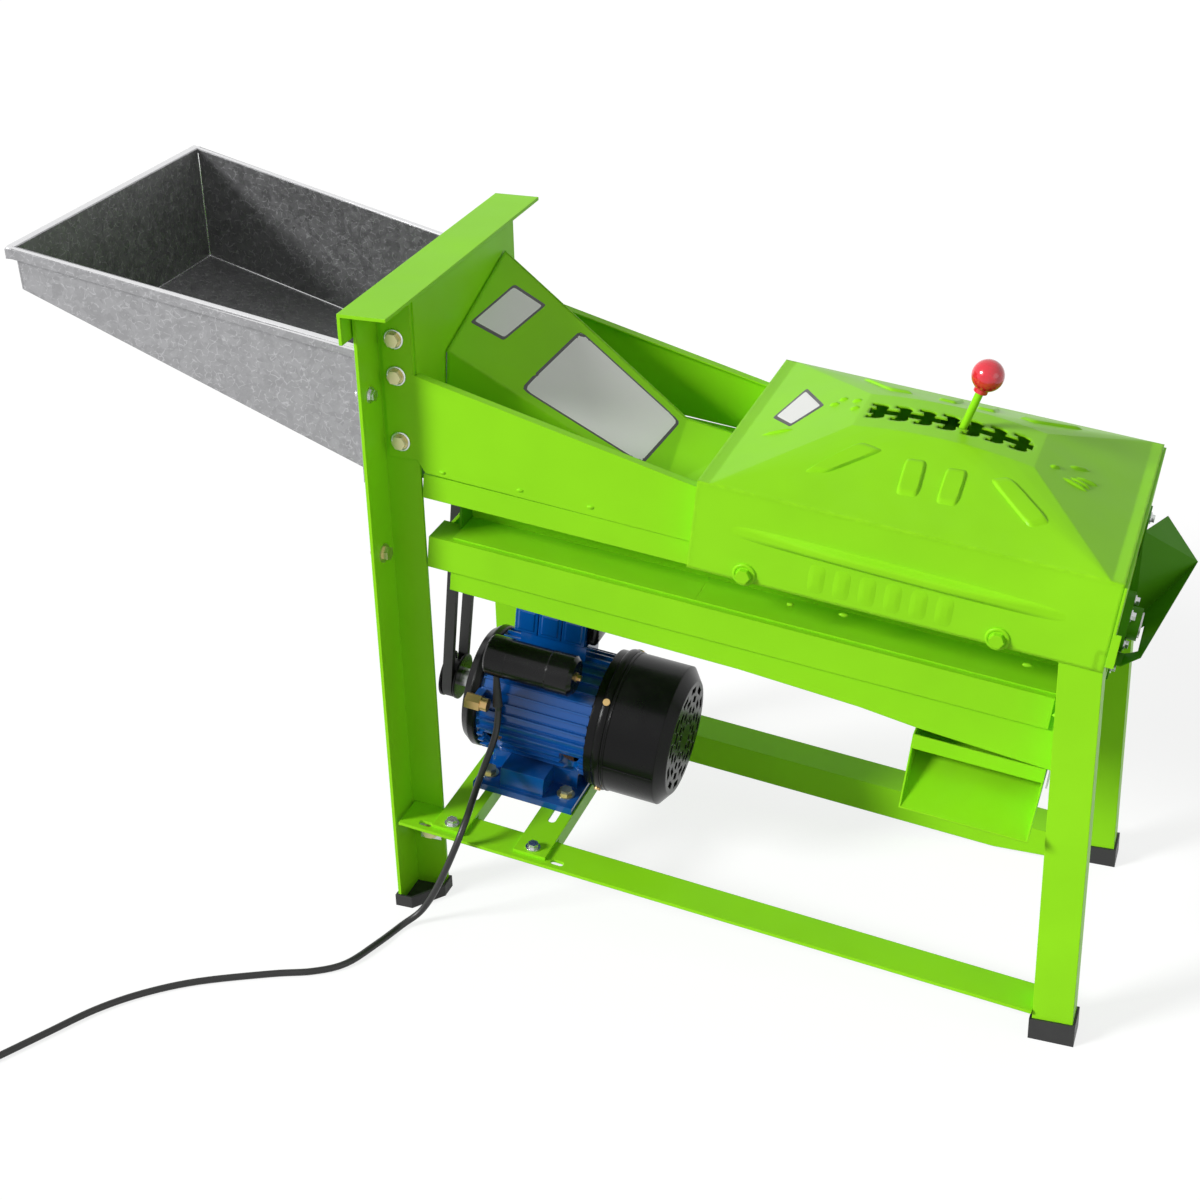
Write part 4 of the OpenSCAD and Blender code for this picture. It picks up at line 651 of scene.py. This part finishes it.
def patch(corners, target, aim="-Z", rows=20, rounding=7.0, rise=0.0, shoulder=0.8, thick=1.5 * MM):
    """A rounded four-sided patch laid onto a packed sheet, standing proud in its middle, as a closed mesh.

    The corners are given in the body's frame in mm, clear of the sheet, and aim is the way onto it.
    """
    deselect()
    bpy.ops.mesh.primitive_grid_add(x_subdivisions=rows, y_subdivisions=rows, size=2.0)
    piece = bpy.context.object
    a, b, c, d = (on_body(*corner) for corner in corners)
    reach = []
    for vertex in piece.data.vertices:
        u, w = vertex.co.x, vertex.co.y
        edge = max(abs(u), abs(w))
        reach.append(edge)
        if edge > 0:
            shrink = edge / (abs(u) ** rounding + abs(w) ** rounding) ** (1 / rounding)
            u, w = u * shrink, w * shrink
        u, w = (u + 1) / 2, (w + 1) / 2
        vertex.co = (a * (1 - u) + b * u) * (1 - w) + (d * (1 - u) + c * u) * w
    apply_modifier(piece, "SHRINKWRAP", target=target, wrap_method="PROJECT", wrap_mode="ABOVE_SURFACE",
                   offset=0.0, use_project_y=aim[1] == "Y", use_project_z=aim[1] == "Z",
                   use_negative_direction=aim[0] == "-", use_positive_direction=aim[0] == "+")
    outward = Vector((0, -1 if aim[0] == "+" else 1, 0)) if aim[1] == "Y" else Vector((0, 0, 1))
    mean = sum((polygon.normal for polygon in piece.data.polygons), Vector())
    if mean.dot(outward) < 0:
        bpy.ops.object.mode_set(mode="EDIT")
        bpy.ops.mesh.select_all(action="SELECT")
        bpy.ops.mesh.flip_normals()
        bpy.ops.object.mode_set(mode="OBJECT")
    normals = [v.normal.copy() for v in piece.data.vertices]
    tuck = 0.5 * MM
    for vertex, normal, edge in zip(piece.data.vertices, normals, reach):
        height = rise * (1 - smoothstep((edge - shoulder) / (1 - shoulder)))
        # The outermost row of a pressed patch goes a little into the sheet, so that no gap shows
        vertex.co += normal * (height - (tuck if edge > 0.999 and rise > tuck else 0.0))
    apply_modifier(piece, "SOLIDIFY", thickness=thick, offset=-1.0)
    bpy.ops.object.shade_smooth_by_angle(angle=math.radians(50))
    return piece


def capsule(start, end, radius):
    """A bead with round ends between two points in metres."""
    ends = 5
    tip = 0.02
    span = end - start
    turns = [math.pi / 2 * i / ends for i in range(ends + 1)]
    insets = [span.normalized() * radius * (1 - math.cos(turn)) for turn in turns]
    widths = [max(tip, math.sin(turn)) for turn in turns]
    line = [start + inset for inset in insets]
    line += [start + span * t for t in (0.25, 0.5, 0.75)]
    line += [end - inset for inset in reversed(insets)]
    return rod(line, radius, widths=widths + [1.0] * 3 + widths[::-1])


# Pressed pads of the cover's long facets, on the near half; the far half mirrors them
COVER_PADS = [
    [(465, 14), (491, 21), (542, 71), (512, 78)],
    [(568, 14), (592, 17), (588, 71), (565, 68)],
    [(611, 15), (634, 17), (633, 71), (610, 68)],
    [(713, 11), (733, 26), (675, 77), (656, 65)],
]
COVER_MIDDLE_Y = 151
# Stiffening beads of the skirt: x and z of each end, half width and height, in mm
SKIRT_BEADS = [((400, 122), (784, 116), 10, 8.0)] + [
    ((x, 88), (x + 20, 88), 19, 0.9) for x in range(500, 660, 28)
]
# Small raised marks of the end facets: x and y of both ends, in mm
END_MARKS = [
    (396, 98, 432, 109), (454, 172, 466, 176), (462, 185, 472, 190), (478, 177, 490, 181),
    (481, 153, 492, 159), (712, 127, 722, 140), (730, 153, 752, 172), (726, 120, 758, 123),
    (734, 131, 760, 132), (740, 138, 766, 150),
]
MARK_HALF_WIDTH = 3.6


# The cover's edges in the body's frame: height of its bends and flat, ends along X, near edge, in mm
EAVES_HEIGHT = 170
FLAT_HEIGHT = 219
COVER_ENDS = (366, 823)
COVER_NEAR_EDGE = -30
# How much each facet rises over how far it runs, in mm
SIDE_RISE = 47 / 135
LEFT_RISE = 41 / 132
RIGHT_RISE = 41 / 125


def facet_height(x, y):
    """Height of the cover's facets in the body's frame, in mm."""
    left, right = COVER_ENDS
    from_side = min(y, 2 * COVER_MIDDLE_Y - y) - COVER_NEAR_EDGE
    rise = min(from_side * SIDE_RISE, (x - left) * LEFT_RISE, (right - x) * RIGHT_RISE)
    return min(EAVES_HEIGHT + rise, FLAT_HEIGHT)


class SHELLER_OT_cover(bpy.types.Operator):
    """Presses pads, marks and stiffening beads into the top cover"""

    bl_idname = "sheller.cover"
    bl_label = "Cover pressings"

    def execute(self, context):
        rise = context.scene.sheller_sizes.emboss
        cover = NODES["top_cover"]
        pads = []
        for pad in COVER_PADS:
            far = [(x, 2 * COVER_MIDDLE_Y - y) for x, y in pad]
            for shape in (pad, far):
                pads.append(patch([(x, y, facet_height(x, y) + 20) for x, y in shape], cover, rise=rise))
        settle(join(pads), "cover_pads", "green_coat")
        marks = []
        for x0, y0, x1, y1 in END_MARKS:
            side = Vector((y0 - y1, x1 - x0)).normalized() * MARK_HALF_WIDTH
            outline = [(x0 - side.x, y0 - side.y), (x1 - side.x, y1 - side.y),
                       (x1 + side.x, y1 + side.y), (x0 + side.x, y0 + side.y)]
            marks.append(patch([(x, y, facet_height(x, y) + 20) for x, y in outline], cover, rows=10,
                               rounding=3.0, rise=rise * 0.9, shoulder=0.35))
        settle(join(marks), "cover_end_marks", "green_coat")
        beads = []
        for y, aim in ((-50, "+Y"), (352, "-Y")):
            for (x0, z0), (x1, z1), half, height in SKIRT_BEADS:
                outline = [(x0, y, z0 - half), (x1, y, z1 - half), (x1, y, z1 + half), (x0, y, z0 + half)]
                beads.append(patch(outline, cover, aim=aim, rounding=4.0, rise=height * MM, shoulder=0.25))
        settle(join(beads), "skirt_beads", "green_coat")
        return {"FINISHED"}


# Bare labels: the sheet that each is stuck to, the share of its face inside the border, and its corners in mm
LABELS = [
    ("hood_label_small", "throat_hood", 0.95,
     [(27, 137, 226), (69, 140, 214), (88, 224, 236), (45, 226, 250)]),
    ("hood_label_large", "throat_hood", 0.985,
     [(112, 92, 182), (266, 94, 124), (283, 177, 146), (136, 218, 212)]),
    ("cover_label", "top_cover", 0.9,
     [(397, 150, 191), (425, 117, 200), (449, 175, 208), (414, 236, 196)]),
]
LABEL_RISE = 0.3 * MM


class SHELLER_OT_labels(bpy.types.Operator):
    """Sticks bare labels to the hood and the cover"""

    bl_idname = "sheller.labels"
    bl_label = "Bare labels"

    def execute(self, context):
        flat = {"rounding": 24.0, "shoulder": 0.9999, "thick": 0.5 * MM}
        for name, sheet, share, corners in LABELS:
            target = NODES[sheet]
            backing = patch(corners, target, rise=LABEL_RISE, **flat)
            settle(backing, name, "label_line")
            middle = sum((Vector(c) for c in corners), Vector()) / 4
            inner = [tuple(middle + (Vector(c) - middle) * share) for c in corners]
            face = patch(inner, target, rise=LABEL_RISE * 1.5, **flat)
            settle(face, name + "_face", "label_face")
        return {"FINISHED"}


# Weld tacks along the seams between panels, rails and cover, in the body's frame in mm: x, z, length
FRONT_TACKS = [
    (61, 88, 8), (156, 90, 9), (241, 91, 9), (481, 33, 8), (541, 37, 11), (745, 33, 12), (788, -19, 12),
]
TACK_FACE = 1.5
WELD_UNEVENNESS = 1.4 * MM


def tack(place, length, radius):
    """A small lump of weld, uneven as it cooled."""
    deselect()
    bpy.ops.mesh.primitive_ico_sphere_add(subdivisions=3, radius=radius, location=place)
    piece = bpy.context.object
    piece.scale = (length * MM / (2 * radius), 0.85, 0.9)
    bpy.ops.object.transform_apply(location=True, rotation=True, scale=True)
    lumps = bpy.data.textures.get("weld_lumps") or bpy.data.textures.new("weld_lumps", "CLOUDS")
    lumps.noise_scale = 0.004
    apply_modifier(piece, "DISPLACE", texture=lumps, texture_coords="GLOBAL", strength=WELD_UNEVENNESS,
                   mid_level=0.5)
    bpy.ops.object.shade_smooth()
    return piece


class SHELLER_OT_welds(bpy.types.Operator):
    """Adds the weld tacks along the seams"""

    bl_idname = "sheller.welds"
    bl_label = "Weld tacks"

    def execute(self, context):
        radius = context.scene.sheller_sizes.bead
        tacks = []
        for x, z, length in FRONT_TACKS:
            for y in (-TACK_FACE, 2 * COVER_MIDDLE_Y + TACK_FACE):
                tacks.append(tack(on_body(x, y, z), length, radius))
        settle(join(tacks), "weld_tacks", "green_coat")
        return {"FINISHED"}


# Rolled hems on the hopper's rim and the seams inside it, as ends in the stand's frame in mm
HOPPER_HEMS = [
    ((-431, -59, 827.5), (-7, -24, 740.5)), ((-431, 361, 827.5), (-7, 326, 740.5)),
    ((-427, -62, 827.5), (-427, 364, 827.5)),
]
HOPPER_SEAMS = [
    ((-420, 355, 824), (-412, 343, 689)), ((-412, 343, 689), (-8, 320, 587.5)),
    ((-412, 343, 689), (-412, 110, 689)), ((-412, 110, 689), (-8, 40, 587.5)),
    ((-420, -53, 824), (-418, -53, 782)), ((-412, 110, 689), (-418, -50, 781)),
]
HEM_RADIUS = 4.4 * MM
SEAM_RADIUS = 1.1 * MM


class SHELLER_OT_hems(bpy.types.Operator):
    """Rolls the hopper's hems and runs a bead along the seams inside it"""

    bl_idname = "sheller.hems"
    bl_label = "Hopper hems and seams"

    def execute(self, context):
        hems = [capsule(on_stand(*a), on_stand(*b), HEM_RADIUS) for a, b in HOPPER_HEMS]
        # The hems and seams take the pale zinc, a painted highlight
        settle(join(hems), "hopper_hems", "hem_highlight_zinc")
        seams = [capsule(on_stand(*a), on_stand(*b), SEAM_RADIUS) for a, b in HOPPER_SEAMS]
        settle(join(seams), "hopper_seams", "hem_highlight_zinc")
        return {"FINISHED"}


# The motor's axis and cowl in the body's frame, in mm
MOTOR_AXIS = (151, -284)
COWL_START = 253.3
COWL_END = 346
COWL_RADIUS = 90
# The terminal box: its cells along the axis, the gap between them, its near and far faces, its foot and
# top over the axis, and the length of its end cap
BOX_CELLS = 3
BOX_START = 111.5
BOX_CELL = 31.5
CELL_GAP = 0.8
BOX_FACES = (141, 204)
BOX_HEIGHTS = (97, 133)
BOX_END = 14
# Bands round the cowl: place after its start, how far they stand out, width; and its seams' turns in degrees
COWL_BANDS = [(5, 2.2, 11), (14, 1.2, 3)]
COWL_SEAM_TURNS = (-8, 172)


def rounded_box(low, high, bevel, lid=0.0):
    """A box between two corners in the body's frame in mm, with rounded edges and raised lids."""
    deselect()
    bpy.ops.mesh.primitive_cube_add(size=1.0)
    piece = bpy.context.object
    piece.scale = [(b - a) * MM for a, b in zip(low, high)]
    bpy.ops.object.transform_apply(location=True, rotation=True, scale=True)
    if lid:
        for polygon in piece.data.polygons:
            polygon.select = polygon.normal.z > 0.9 or polygon.normal.y < -0.9
        bpy.ops.object.mode_set(mode="EDIT")
        bpy.ops.mesh.select_mode(type="FACE")
        bpy.ops.mesh.inset(thickness=4.0 * MM, depth=0.0, use_individual=True)
        bpy.ops.mesh.inset(thickness=1.2 * MM, depth=lid * MM, use_individual=True)
        bpy.ops.object.mode_set(mode="OBJECT")
    apply_modifier(piece, "BEVEL", width=bevel * MM, segments=4, limit_method="ANGLE")
    piece.rotation_euler = (0.0, BODY_SLOPE, 0.0)
    piece.location = on_body(*((a + b) / 2 for a, b in zip(low, high)))
    bpy.ops.object.transform_apply(location=True, rotation=True, scale=True)
    bpy.ops.object.shade_smooth_by_angle(angle=math.radians(40))
    return piece


def band(x, radius, thick, width):
    """A rounded band round the motor's axis, at a place along it in mm."""
    deselect()
    bpy.ops.mesh.primitive_torus_add(major_segments=96, minor_segments=14, major_radius=radius * MM,
                                     minor_radius=thick * MM)
    piece = bpy.context.object
    piece.scale = (1.0, 1.0, width / (2 * thick))
    bpy.ops.object.transform_apply(location=True, rotation=True, scale=True)
    piece.rotation_euler = (0.0, math.pi / 2 + BODY_SLOPE, 0.0)
    piece.location = on_body(x, *MOTOR_AXIS)
    bpy.ops.object.shade_smooth()
    return piece


class SHELLER_OT_motor(bpy.types.Operator):
    """Builds the terminal box's cells and end cap, and the bands and seams of the cowl"""

    bl_idname = "sheller.motor"
    bl_label = "Motor trim"

    def execute(self, context):
        axis_y, axis_z = MOTOR_AXIS
        near, far = BOX_FACES
        foot, top = (axis_z + height for height in BOX_HEIGHTS)
        cells = []
        for i in range(BOX_CELLS):
            x = BOX_START + BOX_CELL * i
            cells.append(rounded_box((x, near, foot), (x + BOX_CELL - CELL_GAP, far, top), 3.5, lid=1.2))
        piece = settle(join(cells), "terminal_cells", "motor_enamel")
        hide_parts("terminal_box")
        end = BOX_START + BOX_CELL * BOX_CELLS
        lid = rounded_box((end - 1, near + 4, foot + 2), (end + BOX_END, far - 4, top - 3), 6.0)
        settle(lid, "terminal_end", "gloss_plastic")
        bands = [band(COWL_START + x, COWL_RADIUS, thick, width) for x, thick, width in COWL_BANDS]
        settle(join(bands), "cowl_bands", "black_enamel")
        seams = []
        for turn in COWL_SEAM_TURNS:
            y = axis_y - COWL_RADIUS * math.cos(math.radians(turn))
            z = axis_z + COWL_RADIUS * math.sin(math.radians(turn))
            seams.append(capsule(on_body(COWL_START + 10, y, z), on_body(COWL_END - 13, y, z), 1.0 * MM))
        settle(join(seams), "cowl_seams", "black_enamel")
        return {"FINISHED"}


# Bolt heads of the left legs, x and z in the stand's frame, and of the cover, x and z in the body's, in mm
LEG_BOLTS = [(21, 625), (21, 705), (21, 749)]
COVER_BOLTS = [(431, 72), (710, 72)]
# How far in front of the near side's zero the middles of the washers lie, in mm
LEG_WASHER_OUT = 3.2
COVER_WASHER_OUT = 30.6
# Each washer's radius at the middle of its rim, and half of the rim's width, in mm
LEG_WASHER = (10.6, 1.5)
COVER_WASHER = (11.2, 2.2)


def washer(place, radius, half):
    """A round washer with its axis along Y: radius at the middle of its rim, half the rim's width, in mm."""
    deselect()
    bpy.ops.mesh.primitive_torus_add(major_segments=40, minor_segments=10, major_radius=radius * MM,
                                     minor_radius=half * MM, rotation=(math.pi / 2, 0, 0),
                                     location=place)
    ring = bpy.context.object
    ring.scale = (1.0, 1.0, 0.8)
    bpy.ops.object.shade_smooth()
    return ring


class SHELLER_OT_washers(bpy.types.Operator):
    """Lays plated washers under the bolt heads of the left legs, and painted flanges under the cover's"""

    bl_idname = "sheller.washers"
    bl_label = "Washers"

    def execute(self, context):
        plated = []
        for x, z in LEG_BOLTS:
            for y in (-LEG_WASHER_OUT, 2 * COVER_MIDDLE_Y + LEG_WASHER_OUT):
                plated.append(washer(on_stand(x, y, z), *LEG_WASHER))
        settle(join(plated), "leg_washers", "bright_zinc")
        painted_rings = []
        for x, z in COVER_BOLTS:
            for y in (-COVER_WASHER_OUT, 2 * COVER_MIDDLE_Y + COVER_WASHER_OUT):
                painted_rings.append(washer(on_body(x, y, z), *COVER_WASHER))
        settle(join(painted_rings), "cover_washers", "green_coat")
        return {"FINISHED"}


CLASSES = [
    ShellerColours, ShellerSizes, ShellerStage,
    SHELLER_OT_camera, SHELLER_OT_finishes, SHELLER_OT_cord, SHELLER_OT_stage, SHELLER_OT_cover,
    SHELLER_OT_labels, SHELLER_OT_welds, SHELLER_OT_hems, SHELLER_OT_motor, SHELLER_OT_washers,
]


class SHELLER_PT_panel(bpy.types.Panel):
    """Lists the steps and settings of the sheller"""

    bl_idname = "SHELLER_PT_panel"
    bl_label = "Corn sheller"
    bl_space_type = "VIEW_3D"
    bl_region_type = "UI"
    bl_category = "Sheller"

    def draw(self, context):
        scene = context.scene
        for settings in (scene.sheller_colours, scene.sheller_sizes, scene.sheller_stage):
            for name in settings.__annotations__:
                self.layout.prop(settings, name)
        for made in CLASSES:
            if issubclass(made, bpy.types.Operator):
                self.layout.operator(made.bl_idname)


CLASSES.append(SHELLER_PT_panel)


def register():
    for made in CLASSES:
        bpy.utils.register_class(made)
    bpy.types.Scene.sheller_colours = bpy.props.PointerProperty(type=ShellerColours)
    bpy.types.Scene.sheller_sizes = bpy.props.PointerProperty(type=ShellerSizes)
    bpy.types.Scene.sheller_stage = bpy.props.PointerProperty(type=ShellerStage)


def unregister():
    del bpy.types.Scene.sheller_stage
    del bpy.types.Scene.sheller_sizes
    del bpy.types.Scene.sheller_colours
    for made in reversed(CLASSES):
        bpy.utils.unregister_class(made)


def main():
    register()
    bpy.ops.sheller.camera()
    bpy.ops.sheller.finishes()
    bpy.ops.sheller.cord()
    bpy.ops.sheller.stage()
    bpy.ops.sheller.cover()
    bpy.ops.sheller.labels()
    bpy.ops.sheller.welds()
    bpy.ops.sheller.hems()
    bpy.ops.sheller.motor()
    bpy.ops.sheller.washers()


if __name__ == "__main__":
    main()
